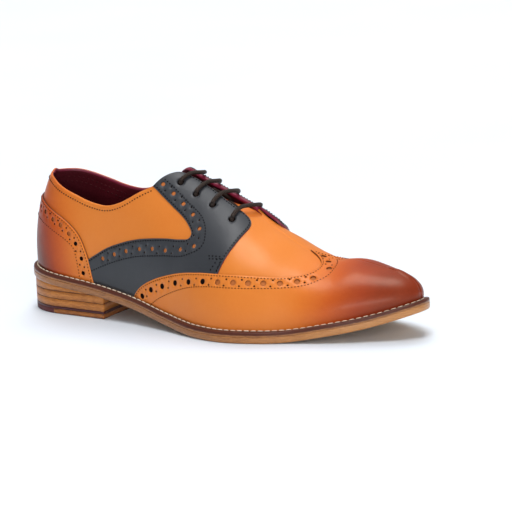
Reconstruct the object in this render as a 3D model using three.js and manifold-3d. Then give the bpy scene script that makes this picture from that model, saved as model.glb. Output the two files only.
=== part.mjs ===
// Brogue shoe for the right foot: a welted derby with a winged toe cap, in millimetres.
// +X runs from heel to toe, +Y to the medial side, +Z up, and the floor is z = 0.
// While it is built, x = 0 is the back of the outsole. The group is centred at the end.
import * as THREE from 'three';
import { mergeVertices } from 'three/addons/utils/BufferGeometryUtils.js';
import { TessellateModifier } from 'three/addons/modifiers/TessellateModifier.js';
import Module from 'manifold-3d';

const wasm = await Module();
wasm.setup();

// Driving sizes
const LENGTH = 306;
const BALL_WIDTH = 104;
const HEEL_WIDTH = 62;
const HEEL_RISE = 23.3;
const TOE_SPRING = 18;
const TOE_SWING = 9;
const INSTEP = 97;
const HEEL_ROUND = 35;
const TOE_ROUND = 70;
const TOE_SQUARENESS = 2.05;

// Shares of the length between which the toe swings to the medial side
const SWING_BACK = 0.556;
const SWING_FRONT = 0.98;

// Thicknesses of the sole, from the floor up
const TOP_PIECE = 3.6;
const ACCENT = 1.5;
const LIFT = 5.5;
const OUTSOLE = 4.5;
const WELT = 3.2;
const INSOLE_ABOVE_WELT = 2.5;

// Heel block; the setback is full at this share of the block's length round the outline
const SETBACK_FULL = 0.7;
const HEEL_LENGTH = 75;
const BREAST_CURVE = 2.2;
const HEEL_SETBACK_REAR = 0.8;
const HEEL_SETBACK_SIDE = 1.9;
const RUBBER_LENGTH = 31;
const WEDGE_EDGE = 0.5;

// Upper
const WALL = 2;
const OVERLAY = 1.2;
const SKIN = -0.6;
const WELT_MARGIN = 6;
const WELT_LAP = 1.4;
const TONGUE_WALL = 2;
const TOPLINE_STEP = 3.2;
const FACING_STAND = 0.8;

// The facings stand off between these shares of the length and of the way up
const STAND_BACK = { start: 0.3, end: 0.42 };
const STAND_FRONT = { start: 0.585, end: 0.66 };
const STAND_UP = { start: 0.55, end: 0.9 };

// The medial topline is higher from this angle on, and as high again at the throat
const MEDIAL_ANGLE = 0.6;
const MEDIAL_UP = { start: 0.4, end: 0.8 };

// Lacing
const LACE = 2.8;
const EYELET = 4.6;
const EYELET_REACH = 12;
const LACE_CROWN = 0.6;
const LACE_LOOSE = 0.5;
const LACE_BEND = 0.04;

// Clearance between curved pieces, and the lift that keeps a lace off the leather
const GAP = 0.3;

// Fine steps that slopes and normals are read over, and halvings of a search
const FINE_TURN = 1e-3;
const FINE_STEP = 0.5;
const HALVINGS = 40;

// Share of the way up where the last's normal is read for the ridge
const RIDGE_SIDE = 0.985;

// Meshing steps
const ROUND_STEPS = 40;
const RIM_ROWS = 15;
const THROAT_ROWS = 6;
const TOE_ROWS = 14;
const CAP_TOE_ROWS = 8;
const EDGE_ROWS = 24;
const COUNTER_ROWS = 12;
const FACING_ROWS = 14;
const TONGUE_ROWS = 8;
const HEEL_ROWS = 17;
const BREAST_ROWS = 8;
const OUTLINE_ROWS = 720;
const PROFILE_STEPS = 7;
const CUTTER_ROWS = 4;
const CUTTER_EDGE = 28;
const LACE_STEPS = 13;
const LACE_SIDES = 8;
const EYELET_SIDES = 10;

// A cutter reaches this far in and out of the last, and past the edges that it doesn't shape
const CUTTER_IN = -6;
const CUTTER_OUT = 8;
const CUTTER_PAST = 0.05;

// Outline of the sole: share of the length, the width it follows, and the half widths
// on the lateral and medial side as shares of that width.
const FOOTPRINT = [
  { at: 0.0, of: HEEL_WIDTH, lateral: 0.484, medial: 0.484 },
  { at: 0.131, of: HEEL_WIDTH, lateral: 0.516, medial: 0.5 },
  { at: 0.245, of: HEEL_WIDTH, lateral: 0.548, medial: 0.484 },
  { at: 0.343, of: BALL_WIDTH, lateral: 0.365, medial: 0.269 },
  { at: 0.441, of: BALL_WIDTH, lateral: 0.442, medial: 0.279 },
  { at: 0.539, of: BALL_WIDTH, lateral: 0.534, medial: 0.341 },
  { at: 0.621, of: BALL_WIDTH, lateral: 0.5625, medial: 0.394 },
  { at: 0.693, of: BALL_WIDTH, lateral: 0.524, medial: 0.428 },
  { at: 0.768, of: BALL_WIDTH, lateral: 0.447, medial: 0.409 },
  { at: 0.856, of: BALL_WIDTH, lateral: 0.383, medial: 0.367 },
  { at: 0.931, of: BALL_WIDTH, lateral: 0.325, medial: 0.342 },
  { at: 1.0, of: BALL_WIDTH, lateral: 0.318, medial: 0.325 },
];

// Underside of the outsole: share of the length, and the rise it follows with its share.
const UNDERSIDE = [
  { at: 0.0, of: HEEL_RISE, rise: 1.0 },
  { at: 0.065, of: HEEL_RISE, rise: 0.927 },
  { at: 0.131, of: HEEL_RISE, rise: 0.828 },
  { at: 0.245, of: HEEL_RISE, rise: 0.652 },
  { at: 0.343, of: HEEL_RISE, rise: 0.438 },
  { at: 0.441, of: HEEL_RISE, rise: 0.18 },
  { at: 0.523, of: HEEL_RISE, rise: 0.039 },
  { at: 0.605, of: HEEL_RISE, rise: 0.0 },
  { at: 0.703, of: TOE_SPRING, rise: 0.0 },
  { at: 0.745, of: TOE_SPRING, rise: 0.033 },
  { at: 0.817, of: TOE_SPRING, rise: 0.222 },
  { at: 0.899, of: TOE_SPRING, rise: 0.489 },
  { at: 1.0, of: TOE_SPRING, rise: 1.0 },
];

// Width of welt that shows outside the upper, as a share of WELT_MARGIN.
const MARGIN = [
  { at: 0.0, share: 0.75 },
  { at: 0.245, share: 0.7 },
  { at: 0.39, share: 0.67 },
  { at: 0.49, share: 0.8 },
  { at: 0.62, share: 0.97 },
  { at: 0.85, share: 1.0 },
  { at: 1.0, share: 0.92 },
];

// Ridge of the last above the welt: rise as a share of INSTEP, swing as a share of TOE_SWING.
const RIDGE_BACK = 0.147;
const RIDGE_FRONT = 0.902;
const RIDGE = [
  { at: 0.147, rise: 0.957, swing: 0.0 },
  { at: 0.261, rise: 1.012, swing: 0.0 },
  { at: 0.359, rise: 1.011, swing: 0.0 },
  { at: 0.448, rise: 0.889, swing: 0.0 },
  { at: 0.523, rise: 0.817, swing: 0.0 },
  { at: 0.582, rise: 0.733, swing: 0.0 },
  { at: 0.654, rise: 0.595, swing: 0.06 },
  { at: 0.725, rise: 0.462, swing: 0.33 },
  { at: 0.784, rise: 0.376, swing: 0.55 },
  { at: 0.833, rise: 0.358, swing: 0.72 },
  { at: 0.902, rise: 0.278, swing: 0.89 },
];

// Section of the last from the welt to the ridge: outward bulge, height of the side wall
// and breadth of the top, as shares of the section's half width and height.
const SECTION = [
  { at: 0.0, bulge: 0.07, wall: 0.477, top: 0.634 },
  { at: 0.098, bulge: 0.07, wall: 0.477, top: 0.634 },
  { at: 0.245, bulge: 0.05, wall: 0.5, top: 0.7 },
  { at: 0.359, bulge: 0.03, wall: 0.55, top: 0.58 },
  { at: 0.458, bulge: 0.02, wall: 0.58, top: 0.45 },
  { at: 0.556, bulge: 0.04, wall: 0.58, top: 0.45 },
  { at: 0.654, bulge: 0.08, wall: 0.56, top: 0.52 },
  { at: 0.735, bulge: 0.1, wall: 0.56, top: 0.58 },
  { at: 0.817, bulge: 0.12, wall: 0.56, top: 0.62 },
  { at: 0.899, bulge: 0.14, wall: 0.535, top: 0.61 },
  { at: 1.0, bulge: 0.16, wall: 0.535, top: 0.61 },
];

// Curves drawn on the last: share of the length, and share of the way up the section.
const TOPLINE = [
  { at: 0.0, up: 0.545 },
  { at: 0.038, up: 0.516 },
  { at: 0.074, up: 0.482 },
  { at: 0.114, up: 0.447 },
  { at: 0.146, up: 0.423 },
  { at: 0.195, up: 0.397 },
  { at: 0.238, up: 0.39 },
  { at: 0.266, up: 0.41 },
  { at: 0.29, up: 0.446 },
  { at: 0.3165, up: 0.513 },
  { at: 0.345, up: 0.613 },
  { at: 0.3543, up: 0.7165 },
  { at: 0.3645, up: 0.81 },
  { at: 0.3734, up: 0.872 },
];
const THROAT_EDGE = [
  { at: 0.3855, up: 0.9055 },
  { at: 0.4126, up: 0.9265 },
  { at: 0.4394, up: 0.9187 },
  { at: 0.4671, up: 0.9056 },
  { at: 0.4957, up: 0.8884 },
  { at: 0.5242, up: 0.8735 },
  { at: 0.5506, up: 0.866 },
  { at: 0.5965, up: 0.863 },
];
const VAMP_EDGE = [
  { at: 0.606, up: 0.92 },
  { at: 0.614, up: 1.0 },
];
const WING_EDGE = [
  { at: 0.334, up: 0.0, foot: 0.334 },
  { at: 0.341, up: 0.028, foot: 0.346 },
  { at: 0.359, up: 0.0725, foot: 0.362 },
  { at: 0.4032, up: 0.1465, foot: 0.405 },
  { at: 0.4595, up: 0.2153, foot: 0.46 },
  { at: 0.5347, up: 0.2849, foot: 0.53 },
  { at: 0.5834, up: 0.3229, foot: 0.585 },
  { at: 0.6424, up: 0.38, foot: 0.64 },
  { at: 0.69, up: 0.428, foot: 0.69 },
  { at: 0.734, up: 0.486, foot: 0.735 },
  { at: 0.77, up: 0.565, foot: 0.775 },
  { at: 0.793, up: 0.652, foot: 0.8 },
  { at: 0.808, up: 0.77, foot: 0.825 },
  { at: 0.807, up: 0.88, foot: 0.845 },
  { at: 0.792, up: 0.96, foot: 0.86 },
  { at: 0.768, up: 1.0, foot: 0.87 },
];
const COUNTER_EDGE = [
  { at: 0.0, up: 0.4, foot: 0.0 },
  { at: 0.028, up: 0.381, foot: 0.028 },
  { at: 0.09, up: 0.33, foot: 0.09 },
  { at: 0.147, up: 0.272, foot: 0.145 },
  { at: 0.178, up: 0.22, foot: 0.175 },
  { at: 0.195, up: 0.161, foot: 0.195 },
  { at: 0.205, up: 0.11, foot: 0.206 },
  { at: 0.217, up: 0.0, foot: 0.217 },
];
const BAND_EDGE = [
  { at: 0.204, up: 0.115 },
  { at: 0.256, up: 0.192 },
  { at: 0.2985, up: 0.2394 },
  { at: 0.35, up: 0.2995 },
  { at: 0.4113, up: 0.3711 },
  { at: 0.458, up: 0.4116 },
  { at: 0.4782, up: 0.44 },
  { at: 0.4817, up: 0.474 },
  { at: 0.4583, up: 0.5282 },
  { at: 0.4168, up: 0.5734 },
  { at: 0.3549, up: 0.6105 },
  { at: 0.345, up: 0.613 },
];
const FACING_FRONT = [
  { at: 0.6045, up: 0.8545 },
  { at: 0.614, up: 0.825 },
  { at: 0.6175, up: 0.775 },
  { at: 0.6131, up: 0.6686 },
  { at: 0.6053, up: 0.5562 },
  { at: 0.5988, up: 0.483 },
  { at: 0.5855, up: 0.3285 },
];
const MEDIAL_FRONT = [
  { at: 0.612, up: 0.872 },
  { at: 0.634, up: 0.873 },
  { at: 0.647, up: 0.85 },
  { at: 0.651, up: 0.8 },
  { at: 0.6465, up: 0.69 },
  { at: 0.6375, up: 0.575 },
  { at: 0.628, up: 0.49 },
  { at: 0.611, up: 0.353 },
];
const EYELETS = [
  { at: 0.3941, up: 0.784 },
  { at: 0.4455, up: 0.7624 },
  { at: 0.5015, up: 0.749 },
  { at: 0.568, up: 0.7351 },
];
const TONGUE = [
  { at: 0.384, up: 0.73 },
  { at: 0.44, up: 0.7 },
  { at: 0.51, up: 0.68 },
  { at: 0.58, up: 0.69 },
  { at: 0.62, up: 0.78 },
  { at: 0.634, up: 0.85 },
];

const LATERAL = -1;
const MEDIAL = 1;

// Smooth curve through a table's rows at a share of the length
function read(table, value, share) {
  const last = table.length - 1;
  const x = THREE.MathUtils.clamp(share, table[0].at, table[last].at);
  let i = 0;
  while (i < last - 1 && x > table[i + 1].at) i += 1;
  const slope = (k) => (value(table[k + 1]) - value(table[k])) / (table[k + 1].at - table[k].at);
  const span = (k) => table[k + 1].at - table[k].at;
  const tangent = (k) => {
    if (k === 0) return slope(0);
    if (k === last) return slope(last - 1);
    return (slope(k - 1) * span(k) + slope(k) * span(k - 1)) / (span(k - 1) + span(k));
  };
  const h = span(i);
  const t = (x - table[i].at) / h;
  const t2 = t * t;
  const t3 = t2 * t;
  return (2 * t3 - 3 * t2 + 1) * value(table[i]) + (t3 - 2 * t2 + t) * h * tangent(i)
    + (3 * t2 - 2 * t3) * value(table[i + 1]) + (t3 - t2) * h * tangent(i + 1);
}

// Angle round the last for a share of the length, and the share for an angle:
// the angle is 0 at the heel and PI at the toe, negative on the lateral side.
const angleOf = (share) => Math.acos(1 - 2 * share);
const shareOf = (angle) => (1 - Math.cos(angle)) / 2;

function midline(x) {
  return TOE_SWING * THREE.MathUtils.smoothstep(x, LENGTH * SWING_BACK, LENGTH * SWING_FRONT);
}

// Roundness of the outline at its two ends
function closing(x) {
  const heel = THREE.MathUtils.clamp((HEEL_ROUND - x) / HEEL_ROUND, 0, 1);
  const toe = THREE.MathUtils.clamp((x - LENGTH + TOE_ROUND) / TOE_ROUND, 0, 1);
  return Math.sqrt(1 - heel * heel) * (1 - toe ** TOE_SQUARENESS) ** (1 / TOE_SQUARENESS);
}

// A point of the sole's outline
function outline(angle) {
  const side = Math.sin(angle) < 0 ? LATERAL : MEDIAL;
  const share = shareOf(angle);
  const half = (row) => row.of * (side === LATERAL ? row.lateral : row.medial);
  const x = LENGTH * share;
  return new THREE.Vector2(x, midline(x) + side * read(FOOTPRINT, half, share) * closing(x));
}

// The outline moved inwards by a distance along its own normal
function insetOutline(angle, distance) {
  const along = outline(angle + FINE_TURN).sub(outline(angle - FINE_TURN)).normalize();
  return outline(angle).add(new THREE.Vector2(-along.y, along.x).multiplyScalar(-distance));
}

const under = (x) => Math.max(0, read(UNDERSIDE, (row) => row.of * row.rise, x / LENGTH));
const soleTop = (x) => under(x) + OUTSOLE;
const weltTop = (x) => soleTop(x) + GAP + WELT;
const margin = (angle) => WELT_MARGIN * read(MARGIN, (row) => row.share, shareOf(angle));
const feather = (angle) => insetOutline(angle, margin(angle));

function ridgeHeight(x) {
  return weltTop(x) + INSTEP * read(RIDGE, (row) => row.rise, x / LENGTH);
}

// A point of the last: angle round it, and share of the way up from the welt to the ridge
function lastPoint(angle, up) {
  const share = shareOf(angle);
  const foot = feather(angle);
  const ridgeShare = RIDGE_BACK + (RIDGE_FRONT - RIDGE_BACK) * share;
  const ridgeX = LENGTH * ridgeShare;
  const ridgeY = TOE_SWING * read(RIDGE, (row) => row.swing, ridgeShare);
  const ridgeZ = ridgeHeight(ridgeX);
  const slope = (ridgeHeight(ridgeX + FINE_STEP) - ridgeHeight(ridgeX - FINE_STEP)) / (2 * FINE_STEP);
  const footZ = weltTop(foot.x) + GAP;
  const bulge = read(SECTION, (row) => row.bulge, share);
  const wall = read(SECTION, (row) => row.wall, share);
  const top = read(SECTION, (row) => row.top, share);
  const down = 1 - up;
  const out = down ** 3 + 3 * down * down * up * (1 + bulge) + 3 * down * up * up * top;
  const shoulder = 3 * down * up * up;
  const high = 3 * down * down * up * wall + shoulder + up ** 3;
  return new THREE.Vector3(
    ridgeX + (foot.x - ridgeX) * out,
    ridgeY + (foot.y - ridgeY) * out,
    footZ + (ridgeZ - footZ) * high + shoulder * top * slope * (foot.x - ridgeX),
  );
}

// Outward normal of the last. Just below the ridge it stands for the ridge itself.
function lastNormal(angle, up) {
  const u = Math.min(up, RIDGE_SIDE);
  const round = lastPoint(angle + FINE_TURN, u).sub(lastPoint(angle - FINE_TURN, u));
  const rise = lastPoint(angle, u + FINE_TURN).sub(lastPoint(angle, u - FINE_TURN));
  return rise.cross(round).normalize();
}

function offLast(angle, up, lift) {
  return lastPoint(angle, up).addScaledVector(lastNormal(angle, up), lift);
}

// A point off the last, never lower than the welt that it stands on
function lifted(angle, up, lift) {
  const point = offLast(angle, up, lift);
  point.z = Math.max(point.z, weltTop(point.x) + GAP);
  return point;
}

// The facings stand a little off the last towards the throat, over tongue and laces
function stand(angle, up) {
  const share = shareOf(angle);
  const along = THREE.MathUtils.smoothstep(share, STAND_BACK.start, STAND_BACK.end)
    * (1 - THREE.MathUtils.smoothstep(share, STAND_FRONT.start, STAND_FRONT.end));
  return FACING_STAND * along * THREE.MathUtils.smoothstep(up, STAND_UP.start, STAND_UP.end);
}

function geometryOf(points, faces) {
  const geometry = new THREE.BufferGeometry();
  geometry.setAttribute('position', new THREE.Float32BufferAttribute(points.flat(), 3));
  geometry.setIndex(faces.flat());
  return geometry;
}

// A sheet drawn on the last becomes a solid between two lifts. Its points are [angle, up],
// and points that meet at the heel, toe or ridge are joined.
function thicken(points, faces, low, high, place = lifted) {
  const found = new Map();
  const outer = [];
  const inner = [];
  const index = points.map(([angle, up]) => {
    const base = lastPoint(angle, up);
    const key = base.toArray().map((value) => Math.round(value * 1000)).join(' ');
    if (!found.has(key)) {
      found.set(key, outer.length);
      outer.push(place(angle, up, high(angle, up)).toArray());
      inner.push(place(angle, up, low(angle, up)).toArray());
    }
    return found.get(key);
  });
  const used = faces.map((face) => face.map((corner) => index[corner]))
    .filter(([a, b, c]) => a !== b && b !== c && c !== a);
  const edges = new Set();
  used.forEach(([a, b, c]) => {
    edges.add(`${a} ${b}`);
    edges.add(`${b} ${c}`);
    edges.add(`${c} ${a}`);
  });
  const shift = outer.length;
  const solid = [];
  used.forEach(([a, b, c]) => {
    solid.push([a, b, c], [a + shift, c + shift, b + shift]);
    [[a, b], [b, c], [c, a]].forEach(([from, to]) => {
      if (!edges.has(`${to} ${from}`)) {
        solid.push([from, from + shift, to + shift], [from, to + shift, to]);
      }
    });
  });
  return geometryOf([...outer, ...inner], solid);
}

// A grid of rows, each a list of [angle, up] points, as the points and faces of a sheet
function rowsToSheet(rows) {
  const width = rows[0].length;
  const faces = [];
  for (let i = 0; i < rows.length - 1; i += 1) {
    for (let j = 0; j < width - 1; j += 1) {
      const a = i * width + j;
      const b = a + width;
      faces.push([a, a + 1, b + 1], [a, b + 1, b]);
    }
  }
  return { points: rows.flat(), faces };
}

// A row from one point of the last to another
function rowBetween(from, to, steps) {
  return Array.from({ length: steps + 1 }, (_, j) => {
    const t = j / steps;
    return [THREE.MathUtils.lerp(from[0], to[0], t), THREE.MathUtils.lerp(from[1], to[1], t)];
  });
}

// Points along a smooth curve through a table's rows, as [angle, up, foot angle]
function trace(table, steps) {
  const knots = table.map((row) => new THREE.Vector3(
    angleOf(row.at),
    row.up,
    angleOf(row.foot ?? row.at),
  ));
  const curve = new THREE.CatmullRomCurve3(knots);
  return curve.getPoints(steps).map((point) => [
    Math.min(Math.PI, Math.max(0, point.x)),
    THREE.MathUtils.clamp(point.y, 0, 1),
    Math.min(Math.PI, Math.max(0, point.z)),
  ]);
}

// Solid plate between two heights over a stretch of the outline, with an optional hole
function ladder(ring, bottom, top) {
  const points = [];
  const faces = [];
  const steps = ring.length - 1;
  ring.forEach(([lateral, medial]) => {
    [lateral, medial].forEach((p) => {
      points.push([p.x, p.y, bottom(p.x)], [p.x, p.y, top(p.x)]);
    });
  });
  for (let i = 0; i < steps; i += 1) {
    const a = i * 4;
    const b = a + 4;
    faces.push([a + 1, b + 1, b + 3], [a + 1, b + 3, a + 3]);
    faces.push([a, a + 2, b + 2], [a, b + 2, b]);
    faces.push([a, b, b + 1], [a, b + 1, a + 1]);
    faces.push([a + 2, a + 3, b + 3], [a + 2, b + 3, b + 2]);
  }
  const end = steps * 4;
  faces.push([0, 1, 3], [0, 3, 2]);
  faces.push([end, end + 2, end + 3], [end, end + 3, end + 1]);
  return closed(geometryOf(points, faces));
}

// Joins shared points and drops the flat triangles that this leaves at pointed ends
function closed(geometry) {
  const source = geometry.clone();
  source.deleteAttribute('normal');
  source.deleteAttribute('uv');
  const merged = mergeVertices(source, 1e-4);
  const index = merged.getIndex().array;
  const kept = [];
  for (let i = 0; i < index.length; i += 3) {
    const [a, b, c] = [index[i], index[i + 1], index[i + 2]];
    if (a !== b && b !== c && c !== a) kept.push(a, b, c);
  }
  merged.setIndex(kept);
  return merged;
}

function rungs(insetAt, from, to, steps) {
  return Array.from({ length: steps + 1 }, (_, i) => {
    const angle = THREE.MathUtils.lerp(from, to, i / steps);
    return [insetOutline(-angle, insetAt(-angle)), insetOutline(angle, insetAt(angle))];
  });
}

function toSolid(geometry) {
  const merged = closed(geometry);
  return new wasm.Manifold(new wasm.Mesh({
    numProp: 3,
    vertProperties: new Float32Array(merged.getAttribute('position').array),
    triVerts: new Uint32Array(merged.getIndex().array),
  }));
}

function fromSolid(solid) {
  const mesh = solid.getMesh();
  const geometry = new THREE.BufferGeometry();
  geometry.setAttribute('position', new THREE.BufferAttribute(mesh.vertProperties, 3));
  geometry.setIndex(new THREE.BufferAttribute(mesh.triVerts, 1));
  return geometry;
}

// Outsole and welt
function outsole() {
  return ladder(rungs(() => 0, 0, Math.PI, ROUND_STEPS), under, soleTop);
}

function weltStrip() {
  const low = (x) => soleTop(x) + GAP;
  const plate = ladder(rungs(() => 0, 0, Math.PI, ROUND_STEPS), low, weltTop);
  const innerEdge = (angle) => margin(angle) + WALL - SKIN + WELT_LAP;
  const hole = ladder(
    rungs(innerEdge, 0, Math.PI, ROUND_STEPS),
    (x) => low(x) - WELT,
    (x) => weltTop(x) + WELT,
  );
  return fromSolid(toSolid(plate).subtract(toSolid(hole)));
}

function insole() {
  const edge = (angle) => margin(angle) + WALL - SKIN + WELT_LAP + GAP;
  return ladder(
    rungs(edge, 0, Math.PI, ROUND_STEPS),
    (x) => soleTop(x) + GAP,
    (x) => weltTop(x) + INSOLE_ABOVE_WELT,
  );
}

// Heel block: setback from the outsole's edge, growing from the rear to the sides
function heelSetback(angle) {
  const full = angleOf(HEEL_LENGTH / LENGTH) * SETBACK_FULL;
  const share = THREE.MathUtils.smoothstep(Math.abs(angle), 0, full);
  return THREE.MathUtils.lerp(HEEL_SETBACK_REAR, HEEL_SETBACK_SIDE, share);
}

// Hollow line of a cut across the heel block
const cutAt = (place, y) => place - BREAST_CURVE * (1 - (y / (HEEL_WIDTH / 2)) ** 2);
const heelRim = (angle) => insetOutline(angle, heelSetback(angle));

// Angle where the rim of the heel block meets a cut on one side
function crossing(place, side) {
  let low = angleOf(Math.max(0, place - WELT_MARGIN) / LENGTH);
  let high = angleOf((place + WELT_MARGIN) / LENGTH);
  for (let i = 0; i < HALVINGS; i += 1) {
    const mid = (low + high) / 2;
    const p = heelRim(side * mid);
    if (p.x < cutAt(place, p.y)) low = mid;
    else high = mid;
  }
  return side * low;
}

// Points along a cut from the lateral to the medial rim
function cutLine(place) {
  const from = heelRim(crossing(place, LATERAL)).y;
  const to = heelRim(crossing(place, MEDIAL)).y;
  return Array.from({ length: BREAST_ROWS + 1 }, (_, i) => {
    const y = THREE.MathUtils.lerp(from, to, i / BREAST_ROWS);
    return new THREE.Vector2(cutAt(place, y), y);
  });
}

// A heel piece between two cuts; back 0 keeps the whole rear of the block
function heelPiece(back, front, bottom, top) {
  const rimBetween = (from, to) => Array.from({ length: HEEL_ROWS - 1 }, (_, i) => (
    heelRim(THREE.MathUtils.lerp(from, to, (i + 1) / HEEL_ROWS))
  ));
  const lateral = crossing(front, LATERAL);
  const medial = crossing(front, MEDIAL);
  const rim = back > 0
    ? [
      ...rimBetween(lateral, crossing(back, LATERAL)),
      ...cutLine(back),
      ...rimBetween(crossing(back, MEDIAL), medial),
    ]
    : rimBetween(lateral, medial);
  const shape = new THREE.Shape([...rim, ...cutLine(front).reverse()]);
  const geometry = new THREE.ExtrudeGeometry(shape, { depth: top - bottom, bevelEnabled: false });
  geometry.translate(0, 0, bottom);
  return geometry;
}

// Space that the outsole takes above the heel block
function aboveHeel() {
  return toSolid(ladder(
    rungs(() => -WELT_MARGIN, 0, Math.PI / 2, ROUND_STEPS),
    (x) => under(x) - GAP,
    (x) => under(x) + HEEL_RISE,
  ));
}

// Place where the outsole's underside comes down to a height
function placeUnder(height) {
  let low = 0;
  let high = HEEL_LENGTH;
  for (let i = 0; i < HALVINGS; i += 1) {
    const mid = (low + high) / 2;
    if (under(mid) > height) low = mid;
    else high = mid;
  }
  return low;
}

// The upper: every row climbs from the welt to the topline, the throat or the ridge
function upperRows() {
  const rim = [
    ...trace(TOPLINE, RIM_ROWS),
    ...trace(THROAT_EDGE, THROAT_ROWS),
    ...trace(VAMP_EDGE, 1),
  ];
  const vampStart = rim[rim.length - 1][0];
  const toe = Array.from({ length: TOE_ROWS }, (_, i) => [
    THREE.MathUtils.lerp(vampStart, Math.PI, (i + 1) / TOE_ROWS),
    1,
  ]);
  const raised = (side, angle, up) => {
    if (side === LATERAL) return up;
    const fading = 1 - THREE.MathUtils.smoothstep(up, MEDIAL_UP.start, MEDIAL_UP.end);
    const growing = THREE.MathUtils.smoothstep(angle, 0, MEDIAL_ANGLE);
    return up + (TOPLINE_STEP / INSTEP) * growing * fading;
  };
  const sideRows = (side) => [...rim, ...toe].map(([angle, up]) => (
    rowBetween([side * angle, 0], [side * angle, raised(side, angle, up)], PROFILE_STEPS)
  ));
  return [...sideRows(LATERAL).reverse(), ...sideRows(MEDIAL).slice(1)];
}

function eyeletPlaces(side) {
  return EYELETS.map((row) => [side * angleOf(row.at), row.up]);
}

// A round cutter or plug through the upper at a point of the last
function eyeletCutter([angle, up]) {
  const geometry = new THREE.CylinderGeometry(EYELET / 2, EYELET / 2, EYELET_REACH, EYELET_SIDES);
  const normal = lastNormal(angle, up);
  geometry.applyQuaternion(new THREE.Quaternion().setFromUnitVectors(
    new THREE.Vector3(0, 1, 0),
    normal,
  ));
  const centre = lifted(angle, up, 0);
  geometry.translate(centre.x, centre.y, centre.z);
  return toSolid(geometry);
}

function punched(geometry, sides) {
  let solid = toSolid(geometry);
  sides.flatMap(eyeletPlaces).forEach((place) => {
    solid = solid.subtract(eyeletCutter(place));
  });
  return fromSolid(solid);
}

// A layer over the whole upper, between two lifts
function layer(low, high) {
  const { points, faces } = rowsToSheet(upperRows());
  return thicken(
    points,
    faces,
    (angle, up) => low + stand(angle, up),
    (angle, up) => high + stand(angle, up),
  );
}

function upper() {
  return punched(layer(SKIN - WALL, SKIN), [LATERAL, MEDIAL]);
}

// Panels are cut from one layer that lies over the upper
const overlayLayer = toSolid(layer(SKIN + GAP, SKIN + GAP + OVERLAY));

function cutter(points, faces) {
  return toSolid(thicken(points, faces, () => CUTTER_IN, () => CUTTER_OUT, offLast));
}

function panel(points, faces) {
  return fromSolid(overlayLayer.intersect(cutter(points, faces)));
}

function wingCap() {
  const edge = trace(WING_EDGE, EDGE_ROWS);
  const peak = edge[edge.length - 1];
  const toe = Array.from({ length: CAP_TOE_ROWS }, (_, i) => [
    THREE.MathUtils.lerp(peak[0], Math.PI, (i + 1) / CAP_TOE_ROWS),
    1,
    THREE.MathUtils.lerp(peak[2], Math.PI, (i + 1) / CAP_TOE_ROWS),
  ]);
  const sideRows = (side) => [...edge, ...toe].map(([angle, up, foot]) => (
    rowBetween([side * foot, -CUTTER_PAST], [side * angle, up], CUTTER_ROWS)
  ));
  const { points, faces } = rowsToSheet([...sideRows(MEDIAL), ...sideRows(LATERAL).reverse()]);
  return panel(points, faces);
}

function heelCounter() {
  const rows = trace(COUNTER_EDGE, COUNTER_ROWS);
  const sideRows = (side) => rows.map(([angle, up, foot]) => (
    rowBetween([side * foot, -CUTTER_PAST], [side * angle, up], CUTTER_ROWS)
  ));
  const { points, faces } = rowsToSheet([...sideRows(LATERAL).reverse(), ...sideRows(MEDIAL).slice(1)]);
  return panel(points, faces);
}

// A facing's cutter is drawn flat, as angle round the last and height, in millimetres.
// It passes the topline, the throat and the welt, and stays clear of wing and counter.
function facing(side) {
  const wide = LENGTH / Math.PI;
  const flat = ([angle, up]) => new THREE.Vector2(side * angle * wide, up * INSTEP);
  const moved = (points, along, up) => points.map(([angle, high]) => [
    angle + along / wide,
    high + up / INSTEP,
  ]);
  const apart = GAP * 1.5;
  const front = trace(side === LATERAL ? FACING_FRONT : MEDIAL_FRONT, FACING_ROWS);
  const lowest = front[front.length - 1];
  const wing = trace(WING_EDGE, 2 * EDGE_ROWS).filter(([angle]) => angle < lowest[0]);
  const counter = trace(COUNTER_EDGE, 2 * COUNTER_ROWS).filter(([, up]) => up < BAND_EDGE[0].up);
  const corner = BAND_EDGE[BAND_EDGE.length - 1].at;
  const outside = [...TOPLINE.filter((row) => row.at >= corner), ...THROAT_EDGE]
    .map((row) => [angleOf(row.at) - CUTTER_PAST, row.up + CUTTER_PAST]);
  const loop = [
    [counter[counter.length - 1][0] + apart / wide, -CUTTER_PAST],
    ...moved(counter.reverse(), apart, 0),
    ...trace(BAND_EDGE, EDGE_ROWS).slice(1),
    ...outside,
    ...front,
    ...moved(wing.reverse(), -apart, apart),
    [wing[wing.length - 1][0] - apart / wide, -CUTTER_PAST],
  ];
  const shape = new THREE.Shape(loop.map(flat));
  const sheet = closed(new TessellateModifier(CUTTER_EDGE, 6).modify(new THREE.ShapeGeometry(shape)));
  const position = sheet.getAttribute('position');
  const index = sheet.getIndex().array;
  const points = [];
  for (let i = 0; i < position.count; i += 1) {
    points.push([position.getX(i) / wide, position.getY(i) / INSTEP]);
  }
  const faces = [];
  for (let i = 0; i < index.length; i += 3) faces.push([index[i], index[i + 2], index[i + 1]]);
  return punched(panel(points, faces), [side]);
}

// The tongue lies inside the upper and shows in the throat
function tongue() {
  const rows = trace(TONGUE, TONGUE_ROWS).map(([angle, up]) => [
    ...rowBetween([-angle, up], [-angle, 1], 4),
    ...rowBetween([angle, 1], [angle, up], 4).slice(1),
  ]);
  const { points, faces } = rowsToSheet(rows.reverse());
  const top = SKIN - WALL - GAP;
  return thicken(points, faces, () => top - TONGUE_WALL, () => top);
}

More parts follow.
